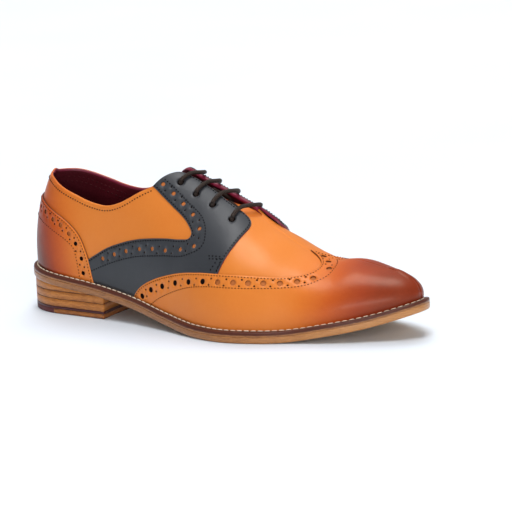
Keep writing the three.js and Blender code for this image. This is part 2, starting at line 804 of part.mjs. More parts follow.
// A lace bar crosses the throat and dips into the eyelets at both ends
function laceBar(row) {
  const radius = LACE / 2;
  const angle = angleOf(row.at);
  const edge = read(THROAT_EDGE, (knot) => knot.up, row.at);
  const surface = SKIN + GAP + OVERLAY;
  const loose = surface + GAP + radius + LACE_LOOSE;
  const at = (side, up, lift) => lifted(side * angle, up, lift + stand(angle, up));
  const across = at(LATERAL, edge, loose).lerp(at(MEDIAL, edge, loose), 1 / 2).x / LENGTH;
  const middle = angleOf((across - RIDGE_BACK) / (RIDGE_FRONT - RIDGE_BACK));
  const crown = lifted(middle, 1, radius + LACE_CROWN);
  const half = (side) => [
    at(side, row.up, SKIN - WALL / 2),
    at(side, row.up, surface),
    at(side, row.up, loose).lerp(crown, LACE_BEND),
    at(side, edge, loose),
  ];
  const path = new THREE.CatmullRomCurve3([...half(LATERAL), crown, ...half(MEDIAL).reverse()]);
  const section = new THREE.Shape();
  for (let i = 0; i < LACE_SIDES; i += 1) {
    const turn = (i / LACE_SIDES) * Math.PI * 2;
    const place = [radius * Math.cos(turn), radius * Math.sin(turn)];
    if (i === 0) section.moveTo(...place);
    else section.lineTo(...place);
  }
  section.closePath();
  return new THREE.ExtrudeGeometry(section, { steps: LACE_STEPS, extrudePath: path });
}

const leather = (color, roughness) => new THREE.MeshStandardMaterial({ color, roughness, metalness: 0 });
const TAN = 0xdc8a4a;
const NAVY = 0x3a4049;
const NATURAL = 0xbe8a58;
const MAROON = 0x4a2018;
const BURGUNDY = 0x451620;
const STACK = 0xc89050;
const LACE_BROWN = 0x352a22;

// Middle of the outline across the shoe
function middleAcross() {
  const across = Array.from({ length: OUTLINE_ROWS }, (_, i) => (
    outline((i / OUTLINE_ROWS) * Math.PI * 2 - Math.PI).y
  ));
  return (Math.min(...across) + Math.max(...across)) / 2;
}
const CENTRE_Y = middleAcross();

const shoe = new THREE.Group();
function add(name, geometry, color, roughness = 0.5) {
  const mesh = new THREE.Mesh(geometry, leather(color, roughness));
  mesh.name = name;
  mesh.position.set(-LENGTH / 2, -CENTRE_Y, 0);
  shoe.add(mesh);
}


const liftBase = TOP_PIECE + ACCENT;
const wedgeBase = liftBase + LIFT * 2;
const room = aboveHeel();
const trimmed = (piece) => fromSolid(toSolid(piece).subtract(room));

add('outsole', outsole(), NATURAL);
add('welt', weltStrip(), MAROON);
add('insole', insole(), BURGUNDY);
add('heel_rubber', heelPiece(0, RUBBER_LENGTH, 0, TOP_PIECE), BURGUNDY, 0.8);
add('heel_top_piece', heelPiece(RUBBER_LENGTH, HEEL_LENGTH, 0, TOP_PIECE), STACK);
add('heel_accent', heelPiece(0, HEEL_LENGTH, TOP_PIECE, liftBase), BURGUNDY);
add('heel_lift_3', heelPiece(0, HEEL_LENGTH, liftBase, liftBase + LIFT), STACK);
add('heel_lift_2', trimmed(heelPiece(0, HEEL_LENGTH, liftBase + LIFT, wedgeBase)), STACK);
add('heel_wedge', trimmed(heelPiece(
  0,
  placeUnder(wedgeBase + GAP + WEDGE_EDGE),
  wedgeBase,
  wedgeBase + HEEL_RISE,
)), STACK);
add('upper', upper(), TAN);
add('tongue', tongue(), TAN);
add('wing_cap', wingCap(), TAN);
add('counter', heelCounter(), TAN);
add('facing_lateral', facing(LATERAL), NAVY);
add('facing_medial', facing(MEDIAL), NAVY);
EYELETS.forEach((row, i) => add(`lace_bar_${i + 1}`, laceBar(row), LACE_BROWN, 0.7));

export default shoe;
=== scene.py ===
"""Brogue shoe for the right foot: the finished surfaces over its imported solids.

Sizes are in millimetres in the shoe's own frame, where x = 0 is the back of the outsole,
+X runs to the toe, +Y to the medial side and the floor is z = 0. Meshes are made in metres
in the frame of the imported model. A point of the last is an angle round it (0 at the heel,
pi at the toe, negative on the lateral side) and a share of the way up to its ridge.
"""
import math

import bmesh
import bpy
import numpy as np
from mathutils import Matrix, Vector
from mathutils.geometry import delaunay_2d_cdt
from mathutils.kdtree import KDTree


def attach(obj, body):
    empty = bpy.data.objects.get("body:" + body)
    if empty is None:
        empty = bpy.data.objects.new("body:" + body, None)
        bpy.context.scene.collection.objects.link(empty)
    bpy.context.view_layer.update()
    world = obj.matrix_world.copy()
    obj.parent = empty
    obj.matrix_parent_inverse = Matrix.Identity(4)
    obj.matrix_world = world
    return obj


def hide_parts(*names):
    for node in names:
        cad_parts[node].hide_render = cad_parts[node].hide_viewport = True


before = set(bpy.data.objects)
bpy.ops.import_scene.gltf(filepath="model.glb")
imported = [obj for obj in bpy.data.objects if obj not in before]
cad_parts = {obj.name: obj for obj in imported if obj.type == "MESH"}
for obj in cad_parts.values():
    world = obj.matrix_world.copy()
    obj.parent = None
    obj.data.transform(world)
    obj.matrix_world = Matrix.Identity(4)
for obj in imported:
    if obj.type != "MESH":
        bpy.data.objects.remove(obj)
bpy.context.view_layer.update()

# Driving sizes
LENGTH = 306.0
BALL_WIDTH = 104.0
HEEL_WIDTH = 62.0
HEEL_RISE = 23.3
TOE_SPRING = 18.0
TOE_SWING = 9.0
INSTEP = 97.0
HEEL_ROUND = 35.0
TOE_ROUND = 70.0
TOE_SQUARENESS = 2.05
SWING_BACK = 0.556
SWING_FRONT = 0.98
HEEL_END = 0.3
BALL_AT = 0.65

# Sole, from the floor up
TOP_PIECE = 3.6
ACCENT = 1.5
LIFT = 5.5
OUTSOLE = 4.5
WELT = 3.2
SOLE_GAP = 0.3
HEEL_LENGTH = 75.0
BREAST_CURVE = 2.2
HEEL_SETBACK_REAR = 0.8
HEEL_SETBACK_SIDE = 1.9
SETBACK_FULL = 0.7
RUBBER_LENGTH = 31.0

# Upper: lifts of its faces off the last, and thicknesses
WELT_MARGIN = 6.0
SHELL_FACE = -0.3
SHELL_WALL = 2.3
FACING_LEATHER = 1.0
CAP_LEATHER = 1.4
CUT_EDGE = 0.35
TONGUE_FACE = -4.6
TONGUE_WALL = 2.0
TONGUE_FRONT_RISE = 3.3
TOPLINE_STEP = 3.2
LATERAL_STAND = 0.8
MEDIAL_STAND = 1.8
MEDIAL_FLAP = 2.4
SEAT = -0.3

# Holes, seams and laces
FACING_HOLE = 1.5
CAP_HOLE = 1.9
COUNTER_HOLE = 1.5
PINHOLE = 0.52
EYELET = 2.3
HOLE_CLEAR = 2.4
CAP_SPREAD = 2.1
COUNTER_SPREAD = 1.9
FACING_SPREAD = 2.3
EDGE_SEAM = 1.3
COLLAR_SEAM = 2.0
COLLAR_SEAM_END = 0.343
LINING_SEAMS = (5.0, 9.0)
LINING_STITCH = (3.4, 1.5, 0.3)
SEAM_PITCH = 2.2
SEAM_LENGTH = 1.25
THREAD = 0.32
DARK_THREAD_SIZE = 0.42
WELT_PITCH = 4.7
WELT_STITCH = 4.4
WELT_THREAD = 0.36
WELT_SEAM_IN = 1.5
LACE = 1.45
LACE_LEAN = 0.014

# Meshing steps
PANEL_STEP = 1.9
LOOP_STEP = 1.1
ROUND_STEPS = 360
PROFILE_ROWS = 54


def table(columns, *rows):
    """A table as named columns"""
    return dict(zip(columns.split(), np.array(rows, float).T))


# Outline of the sole: half widths as shares of the heel's width, then of the ball's
FOOTPRINT = table(
    "at lateral medial",
    (0.0, 0.484, 0.484),
    (0.131, 0.516, 0.5),
    (0.245, 0.548, 0.484),
    (0.343, 0.365, 0.269),
    (0.441, 0.442, 0.279),
    (0.539, 0.534, 0.341),
    (0.621, 0.5625, 0.394),
    (0.693, 0.524, 0.428),
    (0.768, 0.447, 0.409),
    (0.856, 0.383, 0.367),
    (0.931, 0.325, 0.342),
    (1.0, 0.318, 0.325),
)
# Underside of the outsole: shares of the heel's rise, then of the toe's spring
UNDERSIDE = table(
    "at rise",
    (0.0, 1.0),
    (0.065, 0.927),
    (0.131, 0.828),
    (0.245, 0.652),
    (0.343, 0.438),
    (0.441, 0.18),
    (0.523, 0.039),
    (0.605, 0.0),
    (0.703, 0.0),
    (0.745, 0.033),
    (0.817, 0.222),
    (0.899, 0.489),
    (1.0, 1.0),
)
for side in ("lateral", "medial"):
    FOOTPRINT[side] *= np.where(FOOTPRINT["at"] < HEEL_END, HEEL_WIDTH, BALL_WIDTH)
UNDERSIDE["rise"] *= np.where(UNDERSIDE["at"] < BALL_AT, HEEL_RISE, TOE_SPRING)
# Welt that shows outside the upper, as a share of WELT_MARGIN
MARGIN = table(
    "at share",
    (0.0, 0.75), (0.245, 0.7), (0.39, 0.67), (0.49, 0.8), (0.62, 0.97), (0.85, 1.0), (1.0, 0.92),
)
# Ridge of the last: rise above the welt over INSTEP, swing over TOE_SWING
RIDGE_BACK = 0.147
RIDGE_FRONT = 0.902
RIDGE = table(
    "at rise swing",
    (0.147, 0.957, 0.0),
    (0.261, 1.012, 0.0),
    (0.359, 1.011, 0.0),
    (0.448, 0.889, 0.0),
    (0.523, 0.817, 0.0),
    (0.582, 0.733, 0.0),
    (0.654, 0.595, 0.06),
    (0.725, 0.462, 0.33),
    (0.784, 0.376, 0.55),
    (0.833, 0.358, 0.72),
    (0.902, 0.278, 0.89),
)
# Section of the last: outward bulge, height of the side wall, breadth of the top
SECTION = table(
    "at bulge wall top",
    (0.0, 0.07, 0.477, 0.634),
    (0.098, 0.07, 0.477, 0.634),
    (0.245, 0.05, 0.5, 0.7),
    (0.359, 0.03, 0.55, 0.58),
    (0.458, 0.02, 0.58, 0.45),
    (0.556, 0.04, 0.58, 0.45),
    (0.654, 0.08, 0.56, 0.52),
    (0.735, 0.1, 0.56, 0.58),
    (0.817, 0.12, 0.56, 0.62),
    (0.899, 0.14, 0.535, 0.61),
    (1.0, 0.16, 0.535, 0.61),
)

# Curves on the last: share of the length, share of the way up
TOPLINE = (
    (0.0, 0.545), (0.038, 0.516), (0.074, 0.482), (0.114, 0.447), (0.146, 0.423), (0.195, 0.397),
    (0.238, 0.39), (0.266, 0.41), (0.29, 0.446), (0.3165, 0.513), (0.345, 0.613), (0.3543, 0.7165),
    (0.3645, 0.81), (0.3734, 0.872),
)
THROAT_EDGE = (
    (0.3855, 0.9055), (0.4126, 0.9265), (0.4394, 0.9187), (0.4671, 0.9056), (0.4957, 0.8884),
    (0.5242, 0.8735), (0.5506, 0.866), (0.5965, 0.863),
)
VAMP_EDGE = ((0.606, 0.92), (0.614, 1.0))
WING_EDGE = (
    (0.334, 0.0), (0.341, 0.028), (0.359, 0.0725), (0.4032, 0.1465), (0.4595, 0.2153),
    (0.5347, 0.2849), (0.5834, 0.3229), (0.6424, 0.38), (0.69, 0.428), (0.734, 0.486),
    (0.77, 0.565), (0.793, 0.652), (0.808, 0.77), (0.807, 0.88), (0.792, 0.96), (0.768, 1.0),
)
COUNTER_EDGE = (
    (0.0, 0.4), (0.028, 0.381), (0.09, 0.33), (0.147, 0.272), (0.178, 0.22), (0.195, 0.161),
    (0.205, 0.11), (0.217, 0.0),
)
BAND_EDGE = (
    (0.204, 0.115), (0.256, 0.192), (0.2985, 0.2394), (0.35, 0.2995), (0.4113, 0.3711),
    (0.458, 0.4116), (0.4782, 0.44), (0.4817, 0.474), (0.4583, 0.5282), (0.4168, 0.5734),
    (0.3549, 0.6105), (0.345, 0.613),
)
FACING_FRONT = (
    (0.5965, 0.863), (0.6045, 0.8545), (0.614, 0.825), (0.6175, 0.775), (0.6131, 0.6686),
    (0.6053, 0.5562), (0.5988, 0.483), (0.5855, 0.3285),
)
MEDIAL_FRONT = (
    (0.5965, 0.863), (0.612, 0.872), (0.634, 0.873), (0.647, 0.85), (0.651, 0.8), (0.6465, 0.69),
    (0.6375, 0.575), (0.628, 0.49), (0.611, 0.353),
)
FACING_UNDER = (
    (0.575, 0.28), (0.56, 0.2), (0.5, 0.12), (0.46, 0.07), (0.43, 0.0), (0.175, 0.0), (0.18, 0.1),
)
FACING_HOLES = (
    (0.3639, 0.6755), (0.3958, 0.6681), (0.4301, 0.6384), (0.4661, 0.5994), (0.4989, 0.5332),
    (0.4997, 0.414), (0.4622, 0.3552), (0.4206, 0.3113), (0.3835, 0.2827), (0.3477, 0.2452),
    (0.3105, 0.2053), (0.2778, 0.1713), (0.2449, 0.1355),
)
FACING_SEAM = (
    (0.3596, 0.7161), (0.3941, 0.7073), (0.442, 0.6628), (0.491, 0.6185), (0.5118, 0.5699),
    (0.5202, 0.5279), (0.5252, 0.4717), (0.519, 0.4202), (0.475, 0.3285), (0.4202, 0.2804),
    (0.3549, 0.2161), (0.3008, 0.1594), (0.252, 0.1075), (0.211, 0.059),
)
WING_HOLES = (
    (0.361, 0.026), (0.389, 0.079), (0.424, 0.124), (0.463, 0.17), (0.505, 0.209), (0.548, 0.245),
    (0.591, 0.277), (0.632, 0.314), (0.667, 0.346), (0.7, 0.381), (0.734, 0.423), (0.767, 0.483),
    (0.8, 0.571), (0.833, 0.762), (0.827, 0.907), (0.808, 1.0),
)
WING_SEAM = (
    (0.385, 0.0), (0.42, 0.066), (0.509, 0.182), (0.613, 0.262), (0.68, 0.317), (0.738, 0.38),
    (0.775, 0.437), (0.805, 0.522), (0.837, 0.667), (0.854, 0.886), (0.85, 1.0),
)
COUNTER_HOLES = (
    (0.012, 0.345), (0.033, 0.335), (0.06, 0.317), (0.094, 0.285), (0.121, 0.261), (0.148, 0.225),
    (0.169, 0.181), (0.186, 0.112), (0.189, 0.04),
)
COUNTER_SEAM = (
    (0.0, 0.29), (0.03, 0.275), (0.07, 0.25), (0.111, 0.218), (0.145, 0.185), (0.165, 0.151),
    (0.176, 0.063), (0.179, 0.0),
)
EYELETS = (
    (0.3941, 0.784), (0.4455, 0.7624), (0.5015, 0.749), (0.568, 0.7351),
)
TONGUE = (
    (0.384, 0.73), (0.44, 0.7), (0.51, 0.68), (0.58, 0.69), (0.62, 0.78), (0.634, 0.85),
)
BAR_TACKS = (
    ((0.547, 0.402), (0.567, 0.422), (0.5852, 0.442)),
    ((0.55, 0.386), (0.57, 0.407), (0.587, 0.43)),
    ((0.5767, 0.4247), (0.5715, 0.375), (0.5628, 0.318)),
    ((0.587, 0.4369), (0.5842, 0.385), (0.5812, 0.333)),
)

# Soft creases: middle and end on the last, half width and depth (a hollow is negative)
CREASES = table(
    "at up to_at to_up width depth",
    (0.63, 0.55, 0.66, 0.95, 9.0, -0.35),
    (0.68, 0.48, 0.7, 0.9, 10.0, 0.25),
    (0.25, 0.3, 0.33, 0.34, 9.0, -0.5),
    (0.6, 0.1, 0.68, 0.2, 10.0, -0.4),
    (0.1, 0.34, 0.2, 0.36, 8.0, -0.35),
)

LATERAL = -1
MEDIAL = 1
FINE = 1e-3


def read(rows, column, at):
    """Smooth curve through one column of a table"""
    x, y = rows["at"], rows[column]
    step = np.diff(x)
    slope = np.diff(y) / step
    tangent = np.empty_like(y)
    tangent[1:-1] = (slope[:-1] * step[1:] + slope[1:] * step[:-1]) / (step[:-1] + step[1:])
    tangent[0], tangent[-1] = slope[0], slope[-1]
    at = np.clip(at, x[0], x[-1])
    i = np.clip(np.searchsorted(x, at, side="right") - 1, 0, len(x) - 2)
    t = (at - x[i]) / step[i]
    t2, t3 = t * t, t * t * t
    return ((2 * t3 - 3 * t2 + 1) * y[i] + (t3 - 2 * t2 + t) * step[i] * tangent[i]
            + (3 * t2 - 2 * t3) * y[i + 1] + (t3 - t2) * step[i] * tangent[i + 1])


def smoothstep(value, low, high):
    t = np.clip((value - low) / (high - low), 0, 1)
    return t * t * (3 - 2 * t)


def angle_of(share):
    return np.arccos(1 - 2 * np.asarray(share, float))


def share_of(angle):
    return (1 - np.cos(angle)) / 2


def unit(v):
    return v / np.maximum(np.linalg.norm(v, axis=-1, keepdims=True), 1e-12)


def closing(x):
    heel = np.clip((HEEL_ROUND - x) / HEEL_ROUND, 0, 1)
    toe = np.clip((x - LENGTH + TOE_ROUND) / TOE_ROUND, 0, 1)
    return np.sqrt(1 - heel**2) * (1 - toe**TOE_SQUARENESS) ** (1 / TOE_SQUARENESS)


def outline(angle):
    """A point of the sole's outline"""
    share = share_of(angle)
    x = LENGTH * share
    lateral = np.sin(angle) < 0
    half = np.where(lateral, -read(FOOTPRINT, "lateral", share), read(FOOTPRINT, "medial", share))
    middle = TOE_SWING * smoothstep(x, LENGTH * SWING_BACK, LENGTH * SWING_FRONT)
    return np.stack([x, middle + half * closing(x)], -1)


def inset(angle, distance):
    """The outline moved inwards by a distance"""
    along = unit(outline(angle + FINE) - outline(angle - FINE))
    outward = np.stack([-along[..., 1], along[..., 0]], -1)
    return outline(angle) - outward * np.asarray(distance)[..., None]


def under(x):
    return np.maximum(0, read(UNDERSIDE, "rise", x / LENGTH))


def welt_top(x):
    return under(x) + OUTSOLE + SOLE_GAP + WELT


def margin(angle):
    return WELT_MARGIN * read(MARGIN, "share", share_of(angle))


def ridge_height(x):
    return welt_top(x) + INSTEP * read(RIDGE, "rise", x / LENGTH)


def last_point(angle, up):
    share = share_of(angle)
    foot = inset(angle, margin(angle))
    ridge_share = RIDGE_BACK + (RIDGE_FRONT - RIDGE_BACK) * share
    ridge_x = LENGTH * ridge_share
    ridge_y = TOE_SWING * read(RIDGE, "swing", ridge_share)
    ridge_z = ridge_height(ridge_x)
    slope = ridge_height(ridge_x + 0.5) - ridge_height(ridge_x - 0.5)
    foot_z = welt_top(foot[..., 0]) + SEAT
    bulge, wall, top = (read(SECTION, name, share) for name in ("bulge", "wall", "top"))
    down = 1 - up
    shoulder = 3 * down * up**2
    out = down**3 + 3 * down**2 * up * (1 + bulge) + shoulder * top
    high = 3 * down**2 * up * wall + shoulder + up**3
    rise = (ridge_z - foot_z) * high + shoulder * top * slope * (foot[..., 0] - ridge_x)
    return np.stack([
        ridge_x + (foot[..., 0] - ridge_x) * out,
        ridge_y + (foot[..., 1] - ridge_y) * out,
        foot_z + rise,
    ], -1)


def side_normal(angle, up):
    u = np.minimum(up, 0.985)
    round_it = last_point(angle + FINE, u) - last_point(angle - FINE, u)
    rise = last_point(angle, u + FINE) - last_point(angle, u - FINE)
    return unit(np.cross(rise, round_it))


def normal(angle, up):
    """Outward normal of the last; both sides share one on the ridge"""
    own = side_normal(angle, up)
    shared = unit(own + side_normal(-angle, up))
    return np.where((up > 0.995)[..., None], shared, own)


FOLD_SHARES = np.linspace(0.35, 0.995, 60)
FOLD_ANGLES = angle_of(FOLD_SHARES)
FOLD_UP = np.full(60, 0.985)
FOLD_SLOPES = np.sqrt(np.maximum(0, 0.5 - 0.5 * np.sum(
    side_normal(FOLD_ANGLES, FOLD_UP) * side_normal(-FOLD_ANGLES, FOLD_UP), axis=-1)))
FOLD_WIDTH = 9.0
RIDGE_GIRTH = 62.0


def relief(angle, up):
    """Lift of every layer: the facings' stand, the softened ridge, and soft creases"""
    share = share_of(angle)
    along = smoothstep(share, 0.3, 0.42) * (1 - smoothstep(share, 0.57, 0.612))
    stand = np.where(angle < 0, LATERAL_STAND, MEDIAL_STAND)
    near = np.clip(1 - (1 - up) * RIDGE_GIRTH / FOLD_WIDTH, 0, 1)
    fold = np.interp(share, FOLD_SHARES, FOLD_SLOPES)
    lift = stand * along * smoothstep(up, 0.55, 0.9) - fold * FOLD_WIDTH / 2 * near**2
    place = np.stack(flat(np.abs(angle), up), -1)
    for i in range(len(CREASES["at"])):
        start = np.array(flat(angle_of(CREASES["at"][i]), CREASES["up"][i]))
        end = np.array(flat(angle_of(CREASES["to_at"][i]), CREASES["to_up"][i]))
        along = np.clip(((place - start) @ (end - start)) / ((end - start) @ (end - start)), 0, 1)
        away = np.linalg.norm(place - start - along[..., None] * (end - start), axis=-1)
        lift = lift + CREASES["depth"][i] * np.exp(-((away / CREASES["width"][i]) ** 2))
    return lift


def place(angle, up, lift):
    """Points at a lift off the last, never under the welt"""
    angle, up, lift = np.broadcast_arrays(np.asarray(angle, float), np.asarray(up, float), lift)
    point = last_point(angle, up) + normal(angle, up) * (lift + relief(angle, up))[..., None]
    point[..., 2] = np.maximum(point[..., 2], welt_top(point[..., 0]) + SEAT)
    return point


def run_along(points):
    """Distance from a line's start to each of its points"""
    return np.concatenate([[0], np.cumsum(np.linalg.norm(np.diff(points, axis=0), axis=1))])


def sampled(points, run, at):
    return np.stack([np.interp(at, run, column) for column in points.T], -1)


# Flat drawing board for the panels: girth along the side, height up the section
BOARD_HEIGHT = 84.0
BOARD_ANGLES = np.linspace(0, math.pi, 721)
BOARD_GIRTH = run_along(last_point(-BOARD_ANGLES, np.full(721, 0.3)))


def flat(angle, up):
    return np.interp(angle, BOARD_ANGLES, BOARD_GIRTH), np.asarray(up) * BOARD_HEIGHT


def unflat(points):
    points = np.asarray(points, float)
    return np.interp(points[:, 0], BOARD_GIRTH, BOARD_ANGLES), points[:, 1] / BOARD_HEIGHT


def knots(rows):
    """Rows of (share of the length, share up) as points of the board"""
    share, up = np.array(rows, float).T
    return np.stack(flat(angle_of(share), up), -1)


def smooth(points, step=LOOP_STEP):
    """Even points along a smooth curve through the given ones"""
    points = np.asarray(points, float)
    ends = np.vstack([2 * points[0] - points[1], points, 2 * points[-1] - points[-2]])
    fine = []
    for p0, p1, p2, p3 in zip(ends, ends[1:], ends[2:], ends[3:]):
        t0, t1, t2, t3 = np.concatenate([[0], np.cumsum([
            max(np.linalg.norm(b - a), 1e-6) ** 0.5 for a, b in ((p0, p1), (p1, p2), (p2, p3))])])
        t = np.linspace(t1, t2, 24, endpoint=False)[:, None]
        a1 = (t1 - t) / (t1 - t0) * p0 + (t - t0) / (t1 - t0) * p1
        a2 = (t2 - t) / (t2 - t1) * p1 + (t - t1) / (t2 - t1) * p2
        a3 = (t3 - t) / (t3 - t2) * p2 + (t - t2) / (t3 - t2) * p3
        b1 = (t2 - t) / (t2 - t0) * a1 + (t - t0) / (t2 - t0) * a2
        b2 = (t3 - t) / (t3 - t1) * a2 + (t - t1) / (t3 - t1) * a3
        fine.append((t2 - t) / (t2 - t1) * b1 + (t - t1) / (t2 - t1) * b2)
    fine.append(points[-1:])
    return even(np.vstack(fine), step)


def even(points, step):
    run = run_along(points)
    count = max(2, int(round(run[-1] / step)) + 1)
    return sampled(points, run, np.linspace(0, run[-1], count))


def local_frame(points):
    """Place, normal and the two directions of the board, for board points"""
    angle, up = unflat(points)
    angle = np.clip(angle, 2 * FINE, math.pi - 2 * FINE)
    up = np.clip(up, 2 * FINE, 1 - 2 * FINE)
    here = last_point(-angle, up)
    along = (last_point(-angle - FINE, up) - last_point(-angle + FINE, up)) / (2 * FINE)
    rise = (last_point(-angle, up + FINE) - last_point(-angle, up - FINE)) / (2 * FINE)
    girth = (np.interp(angle + FINE, BOARD_ANGLES, BOARD_GIRTH)
             - np.interp(angle - FINE, BOARD_ANGLES, BOARD_GIRTH)) / (2 * FINE)
    return here, side_normal(-angle, up), along / girth[:, None], rise / BOARD_HEIGHT


def moved(points, vectors):
    """Board points moved by real vectors that lie on the last"""
    _, _, ex, ey = local_frame(points)
    a, b, c = (ex * ex).sum(1), (ex * ey).sum(1), (ey * ey).sum(1)
    p, q = (vectors * ex).sum(1), (vectors * ey).sum(1)
    det = a * c - b * b
    return points + np.stack([(c * p - b * q) / det, (a * q - b * p) / det], -1)


def beside(points, distance):
    """A board curve moved sideways by a real distance; positive is to its right"""
    _, n, ex, ey = local_frame(points)
    step = np.gradient(points, axis=0)
    tangent = unit(step[:, :1] * ex + step[:, 1:] * ey)
    return moved(points, np.cross(tangent, n) * distance)


def ring(centre, radius, count):
    """A round hole as board points"""
    turn = np.linspace(0, 2 * math.pi, count, endpoint=False)
    centre = np.repeat(np.asarray(centre, float)[None], count, 0)
    _, n, ex, _ = local_frame(centre)
    one = unit(ex)
    two = np.cross(n, one)
    return moved(centre, radius * (np.cos(turn)[:, None] * one + np.sin(turn)[:, None] * two))


def inside(points, loop):
    """Which board points lie inside a closed loop"""
    result = np.zeros(len(points), bool)
    x, y = points[:, 0], points[:, 1]
    for (x1, y1), (x2, y2) in zip(loop, np.roll(loop, -1, axis=0)):
        if y1 == y2:
            continue
        crosses = (y1 > y) != (y2 > y)
        result ^= crosses & (x < (x2 - x1) * (y - y1) / (y2 - y1) + x1)
    return result


def edge_line(*corners):
    """Even points along straight board lines"""
    return even(np.array(corners), PANEL_STEP)


def tree_of(points):
    tree = KDTree(len(points))
    for i, (x, y) in enumerate(points):
        tree.insert((x, y, 0), i)
    tree.balance()
    return tree


def far_from(tree, points, distance):
    return np.array([tree.find((x, y, 0))[2] > distance for x, y in points], bool)


def to_frame(points):
    """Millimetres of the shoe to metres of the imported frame"""
    return (np.asarray(points) - [LENGTH / 2, CENTRE_Y, 0]) / 1000


def shoe_points(obj):
    """A mesh's points in millimetres of the shoe"""
    return np.array([v.co for v in obj.data.vertices]) * 1000 + [LENGTH / 2, CENTRE_Y, 0]


def strips(rows, width):
    """Quads between neighbouring closed rows of points"""
    return [(j * width + i, j * width + (i + 1) % width, (j + 1) * width + (i + 1) % width,
             (j + 1) * width + i) for j in range(rows - 1) for i in range(width)]


def mesh_object(name, vertices, faces, materials, face_material=None):
    mesh = bpy.data.meshes.new(name)
    mesh.from_pydata(to_frame(vertices).tolist(), [], [tuple(map(int, f)) for f in faces])
    for item in materials:
        mesh.materials.append(item)
    if face_material is not None:
        mesh.polygons.foreach_set("material_index", np.asarray(face_material, np.int32))
    mesh.polygons.foreach_set("use_smooth", np.full(len(mesh.polygons), True))
    mesh.update()
    obj = bpy.data.objects.new(name, mesh)
    bpy.context.collection.objects.link(obj)
    return obj


def attribute(obj, name, values):
    data = obj.data.attributes.new(name, "FLOAT", "POINT")
    data.data.foreach_set("value", np.asarray(values, np.float32))


def weld(obj, distance):
    bm = bmesh.new()
    bm.from_mesh(obj.data)
    bmesh.ops.remove_doubles(bm, verts=bm.verts, dist=distance)
    bmesh.ops.recalc_face_normals(bm, faces=bm.faces)
    bm.to_mesh(obj.data)
    bm.free()


def finish_piece(obj, node):
    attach(obj, "root")
    if node:
        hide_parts(*([node] if isinstance(node, str) else node))
    return obj


def toned_piece(name, vertices, faces, materials, kinds, tone, node, distance=2e-5):
    """A welded piece, with its tone as a function of its points"""
    obj = mesh_object(name, vertices, faces, materials, kinds)
    weld(obj, distance)
    attribute(obj, "tone", tone(shoe_points(obj)))
    return finish_piece(obj, node)


across = outline(np.linspace(-math.pi, math.pi, 721))[:, 1]
CENTRE_Y = (across.min() + across.max()) / 2


# Materials
def srgb(r, g, b):
    def channel(value):
        value /= 255
        return value / 12.92 if value <= 0.04045 else ((value + 0.055) / 1.055) ** 2.4
    return (channel(r), channel(g), channel(b), 1)


def shades(*rows):
    """Colour stops from rows of (position, red, green, blue)"""
    return [(position, srgb(*color)) for position, *color in rows]


class Nodes:
    """A material's node tree, with short ways to add to it"""

    def __init__(self, name):
        self.material = bpy.data.materials.new(name)
        self.material.use_nodes = True
        self.tree = self.material.node_tree
        self.shader = self.tree.nodes["Principled BSDF"]
        self.place = self.add("ShaderNodeTexCoord").outputs["Object"]

    def add(self, kind, values=(), **settings):
        node = self.tree.nodes.new(kind)
        for key, value in settings.items():
            setattr(node, key, value)
        for key, value in dict(values).items():
            if isinstance(value, bpy.types.NodeSocket):
                self.tree.links.new(value, node.inputs[key])
            else:
                node.inputs[key].default_value = value
        return node

    def noise(self, scale, detail=3.0, stretch=None, rough=0.5):
        vector = self.place
        if stretch:
            vector = self.add("ShaderNodeMapping", {"Vector": vector, "Scale": stretch}).outputs[0]
        return self.add("ShaderNodeTexNoise", {
            "Vector": vector, "Scale": scale, "Detail": detail, "Roughness": rough,
        }).outputs["Fac"]

    def math(self, operation, a, b=0.5, c=0.5, clamp=False):
        return self.add("ShaderNodeMath", {0: a, 1: b, 2: c}, operation=operation,
                        use_clamp=clamp).outputs[0]

    def ramp(self, factor, stops):
        node = self.add("ShaderNodeValToRGB", {"Fac": factor})
        ramp = node.color_ramp
        while len(ramp.elements) < len(stops):
            ramp.elements.new(0.5)
        for element, (position, color) in zip(ramp.elements, stops):
            element.position = position
            element.color = color
        return node.outputs["Color"]

    def attribute(self, name):
        return self.add("ShaderNodeAttribute", attribute_name=name).outputs["Fac"]

    def bump(self, height, distance, strength=1.0, after=None):
        values = {"Height": height, "Distance": distance, "Strength": strength}
        if after is not None:
            values["Normal"] = after
        return self.add("ShaderNodeBump", values).outputs["Normal"]

    def set(self, **values):
        for key, value in values.items():
            socket = self.shader.inputs[key.replace("_", " ")]
            if isinstance(value, bpy.types.NodeSocket):
                self.tree.links.new(value, socket)
            else:
                socket.default_value = value
        return self.material


SHINE = 0.38


def leather(name, stops, mottle=0.2, grain=0.3, rough=0.42, coat=0.0, coat_rough=0.3, **extra):
    """Smooth calf leather: darkening by the tone attribute (real antique darkening and painted
    shade), cloudy colour, pores and fine creases
    """
    n = Nodes(name)
    cloud = n.noise(28.0, 4.0, rough=0.6)
    fleck = n.noise(420.0, 3.0, rough=0.7)
    shade = n.math("MULTIPLY_ADD", cloud, mottle, -mottle / 2)
    tone = n.math("ADD", n.attribute("tone"), shade)
    tone = n.math("ADD", tone, n.math("MULTIPLY", n.math("SUBTRACT", fleck, 0.5), 0.1), clamp=True)
    pores = n.add("ShaderNodeTexVoronoi", {"Vector": n.place, "Scale": 1300.0},
                  feature="DISTANCE_TO_EDGE").outputs["Distance"]
    bump = n.bump(pores, 0.00005, grain)
    bump = n.bump(n.noise(650.0, 4.0, rough=0.65), 0.00012, grain, bump)
    bump = n.bump(n.noise(90.0, 3.0), 0.0005, grain, bump)
    values = {"Specular_IOR_Level": SHINE, **extra}
    return n.set(Base_Color=n.ramp(tone, stops), Normal=bump, Coat_Weight=coat,
                 Roughness=n.math("MULTIPLY_ADD", n.noise(160.0, 3.0), 0.16, rough - 0.08),
                 Coat_Roughness=coat_rough, **values)


